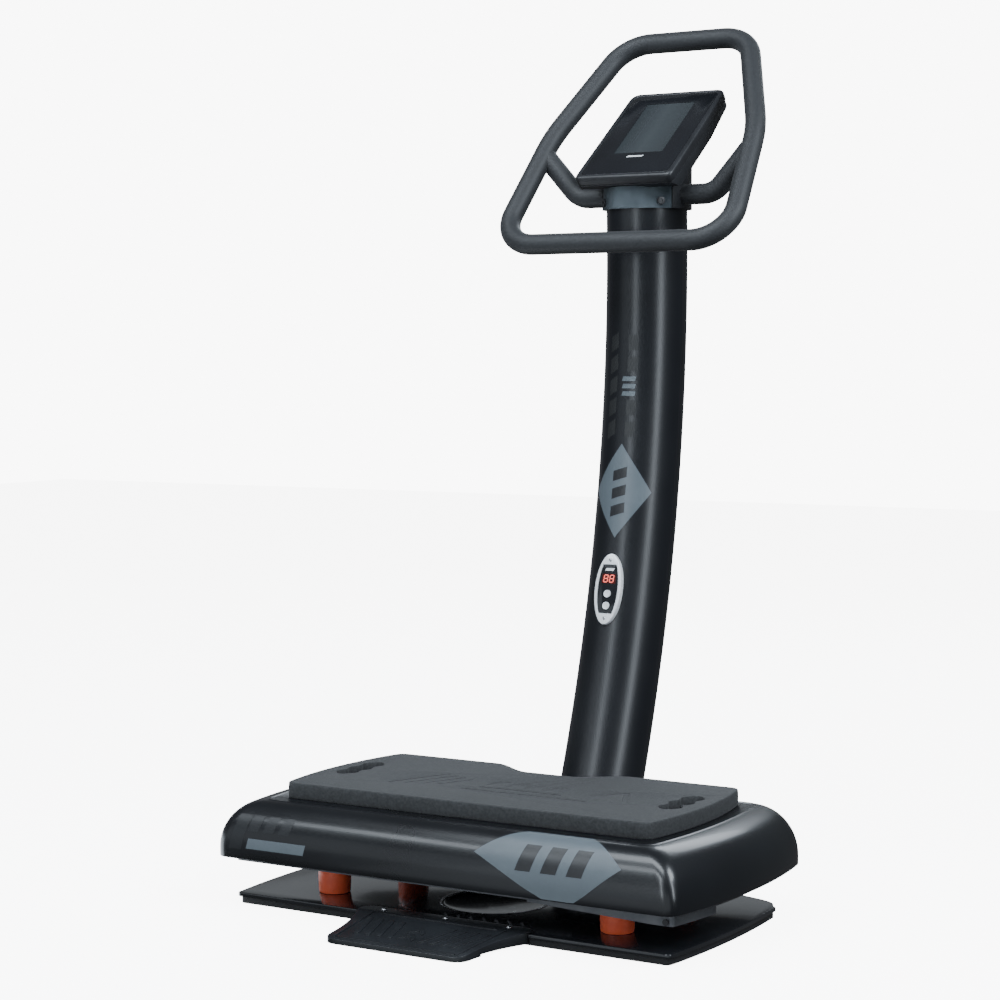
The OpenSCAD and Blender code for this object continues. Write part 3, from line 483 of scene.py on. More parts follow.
# Each look: two tones, two roughnesses, the size of a patch and of the grain in mm, and the relief.
LOOKS = {
    "cover": surface("cover_gloss_black", ((0.0055, 0.006, 0.0075), (0.008, 0.009, 0.011)),
                     (0.24, 0.32), 220, 1.6, 0.015, coat=0.15),
    "column": surface("column_satin_black", ((0.006, 0.0068, 0.009), (0.009, 0.010, 0.0125)),
                      (0.28, 0.36), 180, 1.4, 0.02),
    "base": surface("base_gloss_black", ((0.010, 0.011, 0.013), (0.016, 0.017, 0.020)),
                    (0.12, 0.20), 120, 2.0, 0.04, coat=0.5),
    "underlay": surface("underlay_rubber", ((0.010, 0.010, 0.011), (0.016, 0.016, 0.017)),
                        (0.6, 0.75), 40, 0.8, 0.3),
    "dish": surface("dish_enamel", ((0.006, 0.007, 0.008), (0.012, 0.013, 0.016)),
                    (0.10, 0.20), 50, 3.0, 0.05, coat=0.5),
    "bright": surface("bright_steel", ((0.55, 0.56, 0.58), (0.68, 0.69, 0.71)),
                      (0.20, 0.34), 14, 0.5, 0.10, metallic=1.0),
    "frame": surface("frame_steel", ((0.10, 0.105, 0.115), (0.15, 0.155, 0.165)),
                     (0.38, 0.52), 40, 1.0, 0.15, metallic=0.6),
    "pad": surface("pad_rubber", ((0.012, 0.013, 0.015), (0.018, 0.020, 0.023)),
                   (0.28, 0.40), 60, 1.1, 0.18),
    "damper": surface("damper_rubber", ((0.74, 0.098, 0.036), (0.82, 0.125, 0.048)),
                      (0.40, 0.52), 18, 0.9, 0.15, sheen=0.05),
    "mat": surface("mat_foam", ((0.017, 0.018, 0.019), (0.037, 0.039, 0.041)),
                   (0.78, 0.90), 4, 1.4, 0.8, sheen=0.05, grain="voronoi"),
    "foam": surface("grip_foam", ((0.007, 0.008, 0.010), (0.015, 0.017, 0.020)),
                    (0.50, 0.64), 3.5, 1.0, 0.6, sheen=0.12),
    "plastic": surface("black_plastic", ((0.013, 0.014, 0.016), (0.019, 0.020, 0.023)),
                       (0.34, 0.46), 60, 0.9, 0.12),
    "band": surface("band_weave", ((0.075, 0.095, 0.110), (0.105, 0.130, 0.148)),
                    (0.28, 0.38), 30, 2.2, 0.9, metallic=0.5, grain="rings"),
    "decal": surface("decal_grey_blue", ((0.085, 0.105, 0.120), (0.100, 0.122, 0.138)),
                     (0.36, 0.46), 70, 1.0, 0.05),
    "decal_dark": surface("decal_black", ((0.010, 0.011, 0.013), (0.014, 0.015, 0.017)),
                          (0.30, 0.38), 50, 1.0, 0.05),
    "decal_shadow": surface("decal_shadow", ((0.007, 0.008, 0.009), (0.010, 0.011, 0.012)),
                            (0.48, 0.58), 50, 1.0, 0.05),
    "glass": surface("panel_glass", ((0.008, 0.009, 0.011), (0.012, 0.013, 0.016)),
                     (0.10, 0.18), 90, 4.0, 0.02, coat=0.6),
    # The LCD is lighter across the middle of its width and darker towards both sides: a painted
    # reflection on the screen.
    "lcd": graded("lcd_grey", ((0.024, 0.029, 0.032), (0.042, 0.048, 0.052),
                               (0.031, 0.036, 0.039)), (0.22, 0.30), "X", -48, 48),
    "bezel": surface("bezel_silver", ((0.80, 0.82, 0.84), (0.88, 0.89, 0.90)),
                     (0.22, 0.32), 12, 0.6, 0.06, metallic=0.15),
    "led": glowing("led_red", (0.95, 0.16, 0.12), 1.3),
    "led_back": surface("led_window", ((0.05, 0.008, 0.008), (0.08, 0.012, 0.010)),
                        (0.12, 0.2), 10, 0.8, 0.03),
    "button": surface("button_white", ((0.74, 0.76, 0.78), (0.82, 0.83, 0.84)),
                      (0.28, 0.38), 6, 0.5, 0.05),
    "aluminium": surface("motor_aluminium", ((0.30, 0.31, 0.33), (0.42, 0.43, 0.45)),
                         (0.35, 0.50), 25, 0.8, 0.25, metallic=0.9),
    "copper": surface("copper_winding", ((0.52, 0.22, 0.09), (0.66, 0.32, 0.14)),
                      (0.25, 0.38), 8, 1.4, 0.6, metallic=1.0, grain="wave", stretch=(0.2, 1, 1)),
    "board": surface("board_green", ((0.012, 0.09, 0.04), (0.02, 0.13, 0.06)),
                     (0.35, 0.5), 14, 0.7, 0.3),
    "tube": surface("tube_steel", ((0.020, 0.021, 0.023), (0.030, 0.031, 0.034)),
                    (0.35, 0.45), 40, 1.2, 0.12, metallic=0.2),
}

# The looks of the CAD's own nodes that no piece below replaces.
CAD_LOOKS = {
    "frame": ["deck_pan", "deck_ribs", "deck_plate", "eccentric_weights", "rotor_core"],
    "bright": ["damper_caps", "damper_nuts", "motor_bolts", "motor_shaft",
               "motor_bearings", "console_screws", "column_foot_bolts"],
    # strap_bars sit deep in the mat's slots and get the dark plastic look as painted shade, so the
    # slots stay dark.
    "plastic": ["mains_inlet", "switch_frame", "switch_rocker", "head_sleeve", "strap_bars",
                "column_wiring"],
    "column": ["column_foot", "column_gussets"],
    "aluminium": ["motor_housing", "motor_shields", "motor_caps"],
    "copper": ["motor_stator"],
    "board": ["control_board", "display_board", "console_board"],
    "tube": ["loop_tube", "arm_tubes", "rail_bolt"],
    "band": ["clamp_band"],
}


def dress_cad_nodes():
    for look, names in CAD_LOOKS.items():
        for name in names:
            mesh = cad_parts[name].data
            mesh.materials.clear()
            mesh.materials.append(LOOKS[look])


# ---- fasteners ----

def cross_screw(name, at, r, h, recess, shank=4.0):
    """Domed screw head with a cross recess, on z = 0 of its place."""
    dome = [(0, h), (r * 0.55, h * 0.94), (r * 0.85, h * 0.62), (r, h * 0.15), (r, 0)]
    head = lathe(name, dome + [(r * 0.45, 0), (r * 0.45, -shank), (0, -shank)], at, 40)
    arm = recess / 5
    bars = [box(name + "_cut", (-recess, -arm, h - 0.9), (recess, arm, h + 2), at),
            box(name + "_cut", (-arm, -recess, h - 0.9), (arm, recess, h + 2), at)]
    return cut(head, *bars)


def socket_bolt(name, at, r, h, socket):
    """Low round bolt head with a hexagon socket."""
    head = lathe(name, [(0, h), (r - 0.7, h), (r - 0.2, h - 0.2), (r, h - 0.8), (r, 0),
                        (r * 0.4, 0), (r * 0.4, -4), (0, -4)], at, 40)
    hexagon = [(socket * math.cos(math.radians(60 * i)), socket * math.sin(math.radians(60 * i)))
               for i in range(6)]
    return cut(head, prism(name + "_cut", hexagon, h - 1.6, h + 3, at))


def join(name, pieces):
    """One piece out of several that share a material."""
    bm = bmesh.new()
    for piece in pieces:
        bm.from_mesh(piece.data)
        bpy.data.objects.remove(piece)
    mesh = bpy.data.meshes.new(name)
    bm.to_mesh(mesh)
    bm.free()
    joined = bpy.data.objects.new(name, mesh)
    bpy.context.scene.collection.objects.link(joined)
    return joined


# ---- base ----

def build_base():
    levels = [(1.4, UNDERLAY_H), (0.4, UNDERLAY_H + 0.4), (0, UNDERLAY_H + 1.2),
              (0, BASE_H - 1.4), (0.4, BASE_H - 0.4), (1.4, BASE_H)]
    dish_hole = lathe("hole", [(0, 40), (DISH_R, 40), (DISH_R, DISH_FLOOR), (0, DISH_FLOOR)],
                      Matrix.Translation((0, DISH_Y, 0)), 96)
    plate = loft("base_top_plate", edge_rings(base_outline, levels))
    through = moved(dish_hole, (0, 0, -12), "hole_low")
    plate = cut(plate, through)
    place(plate, LOOKS["base"], "base", "base_steel", "base_plate")
    layers = [(5, 0), (4.3, 0.4), (4, 1.2), (4, UNDERLAY_H - 0.1)]
    underlay = cut(loft("base_rubber_layer", edge_rings(base_outline, layers)), dish_hole)
    place(underlay, LOOKS["underlay"], "base", "underlay_rubber", "base_underlay")


def build_dish():
    at = Matrix.Translation((0, DISH_Y, DISH_FLOOR))
    depth = BASE_H - DISH_FLOOR
    wall = DISH_R - 3.4
    bowl = [(0, 2.0)]
    for i in range(1, 25):
        a = math.radians(90 - 90 * i / 24)
        bowl.append(((DISH_R - 6) * math.cos(a), depth - 1 - (depth - 3) * math.sin(a)))
    bowl += [(wall, depth - 1), (wall, 0), (0, 0)]
    place(lathe("base_bowl", bowl, at, 128), LOOKS["dish"], "base", "dish_enamel", "base_dish")
    outer, inner, top = DISH_R - 0.1, DISH_R - 3.3, depth + 0.6
    rim = [(inner, 0), (inner, top - 0.6), (inner + 0.5, top), (outer - 0.5, top),
           (outer, top - 0.6), (outer, 0)]
    place(lathe("base_bowl_rim", rim, at, 128, closed=True), LOOKS["bright"], "base",
          "bright_steel", "dish_rim")


# ---- foot pad ----

def pad_outline():
    """Rounded front corners, then sides that flare towards the base."""
    side_x, side_y = PAD_FRONT_HW + 1, PAD_FRONT + PAD_CORNER
    half = bezier((PAD_FRONT_HW - PAD_CORNER, PAD_FRONT), (PAD_FRONT_HW, PAD_FRONT),
                  (side_x, side_y), 10)
    for i in range(1, 17):
        t = i / 16
        half.append((side_x + (PAD_REAR_HW - side_x) * t * t, side_y + (BASE_FRONT - side_y) * t))
    half += bezier((PAD_REAR_HW - 1, BASE_FRONT + 11), (PAD_REAR_HW - 3, PAD_REAR),
                   (PAD_REAR_HW - 20, PAD_REAR), 6)
    return mirrored(half)


def pad_top(y):
    """Height of the ramp, flat from PAD_FLAT_Y back."""
    climb = min(1, (y - PAD_FRONT) / (PAD_FLAT_Y - PAD_FRONT))
    return PAD_EDGE + (BASE_H + PAD_RISE - PAD_EDGE) * climb


def build_foot_pad():
    outline = pad_outline()
    body = prism("pad_body", outline, 0, 60)
    side_view = [(PAD_REAR + 1, BASE_H), (PAD_REAR + 1, BASE_H + PAD_RISE),
                 (PAD_FLAT_Y, BASE_H + PAD_RISE), (PAD_FRONT - 1, PAD_EDGE), (PAD_FRONT - 1, 0),
                 (PAD_SOLE_Y, 0), (PAD_SOLE_Y, 3), (BASE_FRONT - 1, 3), (BASE_FRONT - 1, BASE_H)]
    wedge = prism("wedge", side_view, -200, 200, SIDE_ON)
    body = bevel(combine(body, "INTERSECT", [wedge]), 1.2, 3, 25)
    body.name = "foot_pad_body"
    place(body, LOOKS["pad"], "base", "pad_rubber", "foot_pad", angle=30)
    build_pad_tread()
    spots = [(x, PAD_SCREW_Y, BASE_H + PAD_RISE) for x in (-PAD_SCREW_X, 0, PAD_SCREW_X)]
    heads = [cross_screw("pad_screw", Matrix.Translation(spot), 4.5, 2.4, 2.6) for spot in spots]
    place(join("foot_pad_screw_heads", heads), LOOKS["bright"], "base", "bright_steel",
          "foot_pad_screws")


def build_pad_tread():
    """Raised border, slanted ribs at both sides and two arrows between them."""
    def mark(outline):
        return patch("mark", outline, lambda x, y, h: (x, y, pad_top(y) + h - 0.05), 1.3, (20, 12))

    front, rear = PAD_FRONT + 9, BASE_FRONT - 8
    half_front, half_rear = PAD_FRONT_HW - 12, PAD_FRONT_HW - 2
    marks = []
    for s in SIDES:
        rail = [(s * half_front, front), (s * (half_front - 4), front), (s * (half_rear - 4), rear),
                (s * half_rear, rear)]
        marks.append(mark(rail))
        for k in range(4):
            x = 22 + 20 * k
            rib = [(s * x, front + 26), (s * (x + 9), front + 26), (s * (x + 29), rear - 26),
                   (s * (x + 20), rear - 26)]
            marks.append(mark(rib))
    reach = half_front - 6
    marks += [mark([(-reach, y), (reach, y), (reach, y + 4), (-reach, y + 4)])
              for y in (front, rear - 4)]
    arrow = [(-14, front + 26), (0, front + 44), (14, front + 26), (14, front + 38),
             (0, front + 56), (-14, front + 38)]
    marks += [mark([(x, y + 26 * k) for x, y in arrow]) for k in range(2)]
    relief = bevel(join("foot_pad_tread", marks), 0.4, 2, 50)
    place(relief, LOOKS["pad"], "base", "pad_rubber")


# ---- dampers ----

def build_dampers():
    names = {(-1, -1): "front_left", (1, -1): "front_right", (-1, 1): "rear_left",
             (1, 1): "rear_right"}
    top = BASE_H + DAMPER_H
    for corner in CORNERS:
        x, y = corner[0] * DAMPER_X, corner[1] * DAMPER_Y
        profile = [(0, BASE_H), (DAMPER_R - 1.8, BASE_H), (DAMPER_R - 0.5, BASE_H + 0.6)]
        for i in range(17):
            t = i / 16
            profile.append((DAMPER_R + 0.9 * math.sin(math.pi * t), BASE_H + 2 + (DAMPER_H - 4) * t))
        profile += [(DAMPER_R - 0.5, top - 0.6), (DAMPER_R - 1.8, top), (0, top)]
        puck = lathe(names[corner] + "_puck", profile, Matrix.Translation((x, y, 0)), 64)
        shade(puck)
        puck.data.materials.append(LOOKS["damper"])
        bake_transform(puck)
        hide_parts(names[corner] + "_damper")


# ---- platform cover and mat ----

def cover_curve(z1, extra, n=24):
    """Levels (front inset, rear inset, more inset at the ends, z) up a quarter of an ellipse."""
    levels = []
    for i in range(n + 1):
        a = math.radians(90 * i / n)
        pulled = 1 - math.cos(a)
        levels.append((extra + CURVE_IN * pulled, extra + CURVE_REAR * pulled,
                       (CURVE_ENDS - CURVE_IN) * pulled, CURVE_Z + (z1 - CURVE_Z) * math.sin(a)))
    return levels


def build_shell():
    """Moulding from the inside of its top, round its lower lip, up its face and over the bead."""
    inner = cover_curve(SHELL_Z1 - SHELL_WALL, SHELL_WALL)[::-1]
    lip = [(SHELL_WALL, SHELL_Z0 + 1.2), (3.4, SHELL_Z0 + 0.3), (2.6, SHELL_Z0), (1.4, SHELL_Z0),
           (0.4, SHELL_Z0 + 0.4), (0, SHELL_Z0 + 1.4)]
    bead = [(0.6, 0.3), (1.2, 0.7), (2.0, 0.9), (2.8, 0.7), (3.4, 0.3), (3.9, 0)]
    ledge = [(CURVE_IN + s, CURVE_REAR + s, CURVE_ENDS - CURVE_IN, SHELL_Z1 + z) for s, z in bead]
    levels = inner + [(s, s, 0, z) for s, z in lip] + cover_curve(SHELL_Z1, 0) + ledge
    rings = [[(x, y, z) for x, y in shell_outline(s, t, ends)] for s, t, ends, z in levels]
    place(loft("platform_cover", rings), LOOKS["cover"], "platform", "cover_plastic", "shell",
          angle=50)


def lobed_slot():
    """Strap slot with three lobes."""
    right = []
    for i in range(49):
        y = SLOT_HL * (i / 24 - 1)
        width = 17.5 + 3 * math.cos(2 * math.pi * y / 40)
        right.append((width * math.sqrt(max(0, 1 - abs(y / SLOT_HL) ** 5)), y))
    left = [(-x, y) for x, y in reversed(right[1:-1])]
    return right + left


def mat_marks():
    """Engraved strokes: slanted lines, a row of blocks, two long lines and a peak."""
    strokes = [slanted(-190 + 26 * k, -62 + 8 * k, 7, 110 - 16 * k, 46 - 6 * k) for k in range(4)]
    strokes += [slanted(-40 + 34 * k, -2, 22, 34, 10) for k in range(4)]
    strokes += [slanted(-40, -26, 150, 5, 2), slanted(-60, -52, 230, 6, 2)]
    strokes += [[(150, -6), (160, -6), (196, 46), (186, 46)],
                [(196, 46), (186, 46), (222, -30), (232, -30)]]
    return strokes


def build_mat():
    levels = [(1.6, SHELL_Z1 + 0.05), (0.5, SHELL_Z1 + 0.6), (0, SHELL_Z1 + 2.4),
              (-0.4, SHELL_Z1 + 9), (-0.4, MAT_Z1 - 8), (0, MAT_Z1 - 2.4), (0.3, MAT_Z1 - 1.3),
              (0.9, MAT_Z1 - 0.5), (1.7, MAT_Z1 - 0.1), (2.6, MAT_Z1)]
    mat = loft("top_mat", edge_rings(mat_outline, levels))
    tools = []
    for s in SIDES:
        outline = [(s * SLOT_X + x, SLOT_Y + y) for x, y in lobed_slot()]
        tools.append(prism("slot", outline, SHELL_Z1 - 5, MAT_Z1 + 5))
    tools += [prism("stroke", outline, MAT_Z1 - 0.9, MAT_Z1 + 5) for outline in mat_marks()]
    mat = bevel(cut(mat, *tools), 0.7, 2, 50)
    place(mat, LOOKS["mat"], "platform", "mat_foam", "mat", angle=40)


def shell_front(x, v, height):
    """Point on the cover's front: v is measured up the face, height is outward."""
    a = max(0, (v - CURVE_Z) / CURVE_LENGTH) * math.pi / 2
    rise = SHELL_Z1 - CURVE_Z
    normal = Vector((0, -math.cos(a) / CURVE_IN, math.sin(a) / rise)).normalized()
    z = min(v, CURVE_Z) + rise * math.sin(a)
    point = Vector((x, SHELL_FRONT + CURVE_IN * (1 - math.cos(a)), z))
    return point + normal * (height + 0.03)


def build_cover_graphics():
    """Six-sided panel with three bars at the right, blocks over a strip at the left."""
    steps, panel_t, sheet_t = (40, 4), 0.25, 0.2
    low, high = SHELL_Z0 + 2, CURVE_Z + CURVE_LENGTH - 1
    mid_x, mid_v = 209, 136
    sheet = [(mid_x - 137, mid_v - 2), (mid_x - 14, low), (mid_x + 40, low),
             (mid_x + 115, mid_v - 2), (mid_x + 47, high), (mid_x - 62, high)]
    panel = patch("cover_panel", sheet, shell_front, panel_t, steps)
    place(panel, LOOKS["decal"], "platform", "panel_black")

    def over_panel(x, v, height):
        return shell_front(x, v, height + panel_t)

    bars = [patch("bar", slanted(mid_x - 62 + 44 * k, mid_v - 20, 26, 40, 12), over_panel,
                  sheet_t, steps) for k in range(3)]
    place(join("cover_panel_bars", bars), LOOKS["decal_dark"], "platform", "panel_black")
    left, base_v = -352, 98
    outlines = [slanted(left + 30 * k, base_v + 24, 21, 26, 8) for k in range(3)]
    outlines.append(slanted(left - 34, base_v - 2, 24, 52, 14))
    blocks = [patch("block", outline, shell_front, sheet_t, steps) for outline in outlines]
    place(join("cover_blocks", blocks), LOOKS["decal_dark"], "platform", "panel_black")
    strip = patch("cover_strip", slanted(left, base_v, 112, 14, 4), shell_front, sheet_t, steps)
    place(strip, LOOKS["decal"], "platform", "panel_black")


# ---- column ----

def column_axis(z):
    return COLUMN_Y - COLUMN_BEND + math.sqrt(COLUMN_BEND ** 2 - (COLUMN_BEND_TOP - z) ** 2)


def column_slope(z):
    return math.asin((COLUMN_BEND_TOP - z) / COLUMN_BEND)


def on_column(turn, z, out, r=COLUMN_R):
    """Point on the tube: turn from its front towards +X, at height z of its centre line."""
    slope = column_slope(z)
    forward = (r + out) * math.cos(turn)
    return ((r + out) * math.sin(turn), column_axis(z) - forward * math.cos(slope),
            z + forward * math.sin(slope))


def column_end(turn, level, r):
    """Point where the tube's line at that turn reaches a level height."""
    z = level
    for _ in range(8):
        z = level - r * math.cos(turn) * math.sin(column_slope(z))
    return on_column(turn, z, 0, r)


def build_column():
    turns = [2 * math.pi * i / 112 for i in range(112)]
    low, high = COLUMN_Z0 + 36, COLUMN_TOP - 12

    def skin(r):
        heights = [low + (high - low) * i / 70 for i in range(71)]
        middle = [[on_column(t, z, 0, r) for t in turns] for z in heights]
        return ([[column_end(t, COLUMN_Z0, r) for t in turns]] + middle
                + [[column_end(t, COLUMN_TOP, r) for t in turns]])

    rings = skin(COLUMN_R) + skin(COLUMN_R - COLUMN_WALL)[::-1]
    place(loft("curved_column", rings, closed=True), LOOKS["column"], "base", "column_paint",
          "column", angle=50)


def tube_patch(name, outline, lift=0.05):
    """Sheet on the column: outlines run around its front, and up its centre line."""
    return patch(name, outline, lambda u, v, h: on_column(u / COLUMN_R, v, h + lift), 0.2, (3, 12))


def build_column_graphics():
    """Diamond with three bars, and above it two rows of dark blocks with light bars among them."""
    middle, half_w, half_h = 636, 58, 82
    diamond = [(0, middle - half_h), (half_w, middle), (0, middle + half_h), (-half_w, middle)]
    place(tube_patch("column_panel", diamond), LOOKS["decal"], "base", "panel_black")
    bars = [tube_patch("bar", [(-13, y), (13, y + 8), (13, y + 26), (-13, y + 18)], 0.2)
            for y in (middle - 46, middle - 15, middle + 16)]
    place(join("column_panel_bars", bars), LOOKS["decal_dark"], "base", "panel_black")
    low, pitch, light_row = middle + half_h + 8, 38, 2
    shades = []
    for k in range(5):
        y = low + pitch * k
        left = [(-34, y), (-16, y + 9), (-16, y + 36), (-34, y + 27)]
        right = [(4, y + 4), (22, y + 4), (22, y + 31), (4, y + 31)]
        shades.append(tube_patch("shade", left))
        if k != light_row:
            shades.append(tube_patch("shade", right))
    place(join("column_shadow_blocks", shades), LOOKS["decal_shadow"], "base", "panel_black")
    y = low + pitch * light_row
    lights = [tube_patch("light", slanted(-6, y + 13 * k, 24, 8, 2)) for k in range(3)]
    place(join("column_light_bars", lights), LOOKS["decal"], "base", "panel_black")


# ---- display on the column ----

def display_place():
    """Matrix on the column's front: X across, Y up along it, Z outward."""
    z = OVAL_Z - COLUMN_R * math.sin(column_slope(OVAL_Z))
    slope = column_slope(z)
    normal = Vector((0, -math.cos(slope), math.sin(slope)))
    return turned_to(on_column(0, z, 0), normal)


def oval(inset, clip=None, n=96):
    """Ellipse inset from the display's outline, its ends cut square at clip."""
    points = []
    for i in range(n):
        a = 2 * math.pi * i / n
        x, y = (OVAL_W / 2 - inset) * math.cos(a), (OVAL_L / 2 - inset) * math.sin(a)
        if clip and abs(y) > clip:
            x, y = x * clip / abs(y), math.copysign(clip, y)
        points.append((x, y))
    return points


def build_display():
    at = display_place()
    outer = [(0, -3), (0, OVAL_FACE - 2.2), (0.35, OVAL_FACE - 1.0), (1.0, OVAL_FACE - 0.3),
             (2.0, OVAL_FACE)]
    inner = [(OVAL_EDGE - 0.4, OVAL_FACE), (OVAL_EDGE, OVAL_FACE - 0.5), (OVAL_EDGE, 1.6)]
    rings = [[(x, y, z) for x, y in oval(s)] for s, z in outer]
    rings += [[(x, y, z) for x, y in oval(s, OVAL_WINDOW + OVAL_EDGE - s)] for s, z in inner]
    bezel = loft("display_frame", rings, closed=True, at=at)
    in_tube = at @ Matrix.Translation((0, 0, -COLUMN_R)) @ Matrix.Rotation(math.pi / 2, 4, "X")
    tube_r = COLUMN_R + 0.3
    under = lathe("under", [(0, -200), (tube_r, -200), (tube_r, 200), (0, 200)], in_tube, 128)
    place(cut(bezel, under), LOOKS["bezel"], "base", "bezel_silver", "display_bezel", angle=50)
    levels = [(0.2, 2.2), (0.2, 4.7), (0.6, 5.1), (1.1, 5.2)]
    panel = loft("display_window", [[(x, y, z) for x, y in oval(OVAL_EDGE + s, OVAL_WINDOW - s)]
                                    for s, z in levels], at=at)
    holes = [lathe("hole", [(0, 0), (BUTTON_R + 0.4, 0), (BUTTON_R + 0.4, 20), (0, 20)],
                   at @ Matrix.Translation((0, y, 0)), 48) for y in BUTTON_Y]
    place(cut(panel, *holes), LOOKS["glass"], "base", "panel_black", "display_panel")
    mark = [(-9, 31.5), (7, 31.5), (9.5, 36), (-6.5, 36)]
    place(prism("display_mark", mark, 5.15, 5.4, at), LOOKS["button"], "base", "button_white")
    heads = [cross_screw("screw", at @ Matrix.Translation((0, s * OVAL_SCREW, OVAL_FACE)), 3, 1.2, 1.9)
             for s in SIDES]
    place(join("display_screw_heads", heads), LOOKS["bright"], "base", "bright_steel",
          "display_screws")
    build_digits(at)
    build_buttons(at)


def segment(x, y, length, width, upright):
    """Pointed bar of a seven-segment digit, centred at x, y."""
    a, b = length / 2, width / 2
    bar = [(-a, 0), (-a + b, b), (a - b, b), (a, 0), (a - b, -b), (-a + b, -b)]
    if upright:
        bar = [(-q, p) for p, q in bar]
    lean = 0.10
    return [(x + p + lean * (y + q - DIGITS_Y), y + q) for p, q in bar]


def build_digits(at):
    """Red window, with every segment of two leaning digits lit."""
    window = prism("digit_window", rounded(26.4, 16.4, 1.2), -0.2, 0.35,
                   at @ Matrix.Translation((0, DIGITS_Y, 5.0)))
    place(window, LOOKS["led_back"], "base", "led_red", "display_digits")
    stroke = 1.5
    segments = []
    for x in (-5.6, 5.6):
        for dy in (-6, 0, 6):
            segments.append(segment(x, DIGITS_Y + dy, 6.6, stroke, False))
        for dx in (-3.6, 3.6):
            for dy in (-3, 3):
                segments.append(segment(x + dx, DIGITS_Y + dy, 5.6, stroke, True))
    bars = [prism("segment", outline, 5.3, 5.75, at) for outline in segments]
    place(join("digit_segments", bars), LOOKS["led"], "base", "led_red")


def build_buttons(at):
    r = BUTTON_R
    profile = [(0, 5.9), (r * 0.42, 6.0), (r * 0.50, 6.5), (r * 0.56, 6.5), (r * 0.64, 6.1),
               (r * 0.82, 6.7), (r * 0.93, 6.7), (r, 6.1), (r, 1.4), (0, 1.4)]
    for y, name in zip(BUTTON_Y, ("upper", "lower")):
        cap = lathe(name + "_push_cap", profile, at @ Matrix.Translation((0, y, 0)), 56)
        place(cap, LOOKS["button"], name + "_button", "button_white", "button_" + name)


# ---- handlebar ----

def build_handlebar():
    upright = Matrix.Rotation(math.pi / 2, 4, "X")
    half = bent_path(LOOP_POINTS, LOOP_BENDS)
    other = [(-x, y, math.pi - h) for x, y, h in reversed(half[1:-1])]
    rings = tube_rings(half, FOAM_R) + tube_rings(other, FOAM_R, side=-1)
    loop_at = (Matrix.Translation((0, LOOP_Y, LOOP_Z))
               @ Matrix.Rotation(math.radians(LOOP_TILT), 4, "X"))
    loop = loft("loop_grip", rings, closed=True, at=loop_at)
    place(loop, LOOKS["foam"], "base", "grip_foam", "loop_foam", angle=60)
    arm_rings = tube_rings(bent_path(ARM_POINTS, [0, ARM_BEND, 0]), FOAM_R - 0.2)
    for s, name in zip(SIDES, ("left_arm_grip", "right_arm_grip")):
        arm_at = Matrix.Translation((0, ARM_Y, 0)) @ Matrix.Diagonal((s, 1, 1, 1)) @ upright
        arm = loft(name, arm_rings, at=arm_at)
        place(arm, LOOKS["foam"], "base", "grip_foam", angle=60)
        if s > 0:
            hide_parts("arm_foam")


# ---- console ----

def face_plan(s, r, n=10):
    """Console's face inset by s, with small corners near the user and corners of r far away."""
    w, length = CONSOLE_HW, CONSOLE_L
    half = bezier((w - 12 - s, s), (w - s, s), (w - s, 12 + s), 6)
    half += bezier((w - 1 - s, length - r - s), (w - 2 - s, length - s), (w - r - s, length - s), n)
    return mirrored(half)


def console_place():
    return (Matrix.Translation((0, CONSOLE_Y, CONSOLE_Z))
            @ Matrix.Rotation(math.radians(CONSOLE_TILT), 4, "X"))


def build_console():
    at = console_place()
    lower = prism("console_lower", face_plan(1, CONSOLE_CORNER), -60, CONSOLE_SEAM - 0.4, at)
    under = prism("under", CONSOLE_UNDER + [(640, 1345), (640, 1450), (370, 1450)],
                  -CONSOLE_HW, CONSOLE_HW, SIDE_ON)
    lower = bevel(combine(lower, "INTERSECT", [under]), 2.2, 3, 30)
    place(lower, LOOKS["plastic"], "base", "black_plastic", "console_base", angle=40)
    levels = [(1.4, CONSOLE_SEAM), (0.4, CONSOLE_SEAM + 0.4), (0, CONSOLE_SEAM + 1.4),
              (0, -3), (0.4, -0.8), (1.4, 0.7), (2.8, 1.6), (4.4, 2.0), (7.4, 2.0),
              (GLASS_INSET - 0.6, 1.7), (GLASS_INSET, 1.0), (GLASS_INSET + 0.1, -2.8),
              (GLASS_INSET + 4, -2.9)]
    rings = [[(x, y, z) for x, y in face_plan(s, CONSOLE_CORNER - min(s, 5))] for s, z in levels]
    place(loft("console_frame", rings, at=at), LOOKS["plastic"], "base", "black_plastic",
          "console_top", angle=38)
    glass_levels = [(0.3, -2.6), (0.3, 0.3), (0.6, 0.7), (1.2, 0.9)]
    rings = [[(x, y, z) for x, y in face_plan(GLASS_INSET + s, CONSOLE_CORNER - 6)]
             for s, z in glass_levels]
    glass = loft("console_window", rings, at=at)
    screen_at = at @ Matrix.Translation((0, LCD_MID, 0))
    well = prism("well", rounded(LCD_W, LCD_L, 2), -0.4, 10, screen_at)
    place(cut(glass, well), LOOKS["glass"], "base", "panel_black", "console_glass")
    lcd = prism("console_screen", rounded(LCD_W - 0.6, LCD_L - 0.6, 2), -0.35, 0.35, screen_at)
    place(lcd, LOOKS["lcd"], "base", "lcd_grey", "console_lcd")
    mark = prism("console_mark", slanted(-17, LCD_MID - LCD_L / 2 - 14, 30, 4.5, 3), 0.85, 1.1, at)
    place(mark, LOOKS["button"], "base", "button_white")
    heads = [socket_bolt("clamp", bolt_place(s), 7, 3.4, 3.2) for s in SIDES]
    place(join("clamp_bolt_heads", heads), LOOKS["tube"], "base", "tube_steel", "clamp_bolts")


def bolt_place(s):
    """Place of a clamp bolt on the band, on side s."""
    turn = math.radians(CLAMP_BOLT_TURN) * s
    out = Vector((math.sin(turn), -math.cos(turn), 0))
    return turned_to(Vector((0, COLUMN_Y, CLAMP_Z)) + out * CLAMP_R, out)


# ---- rear cover ----

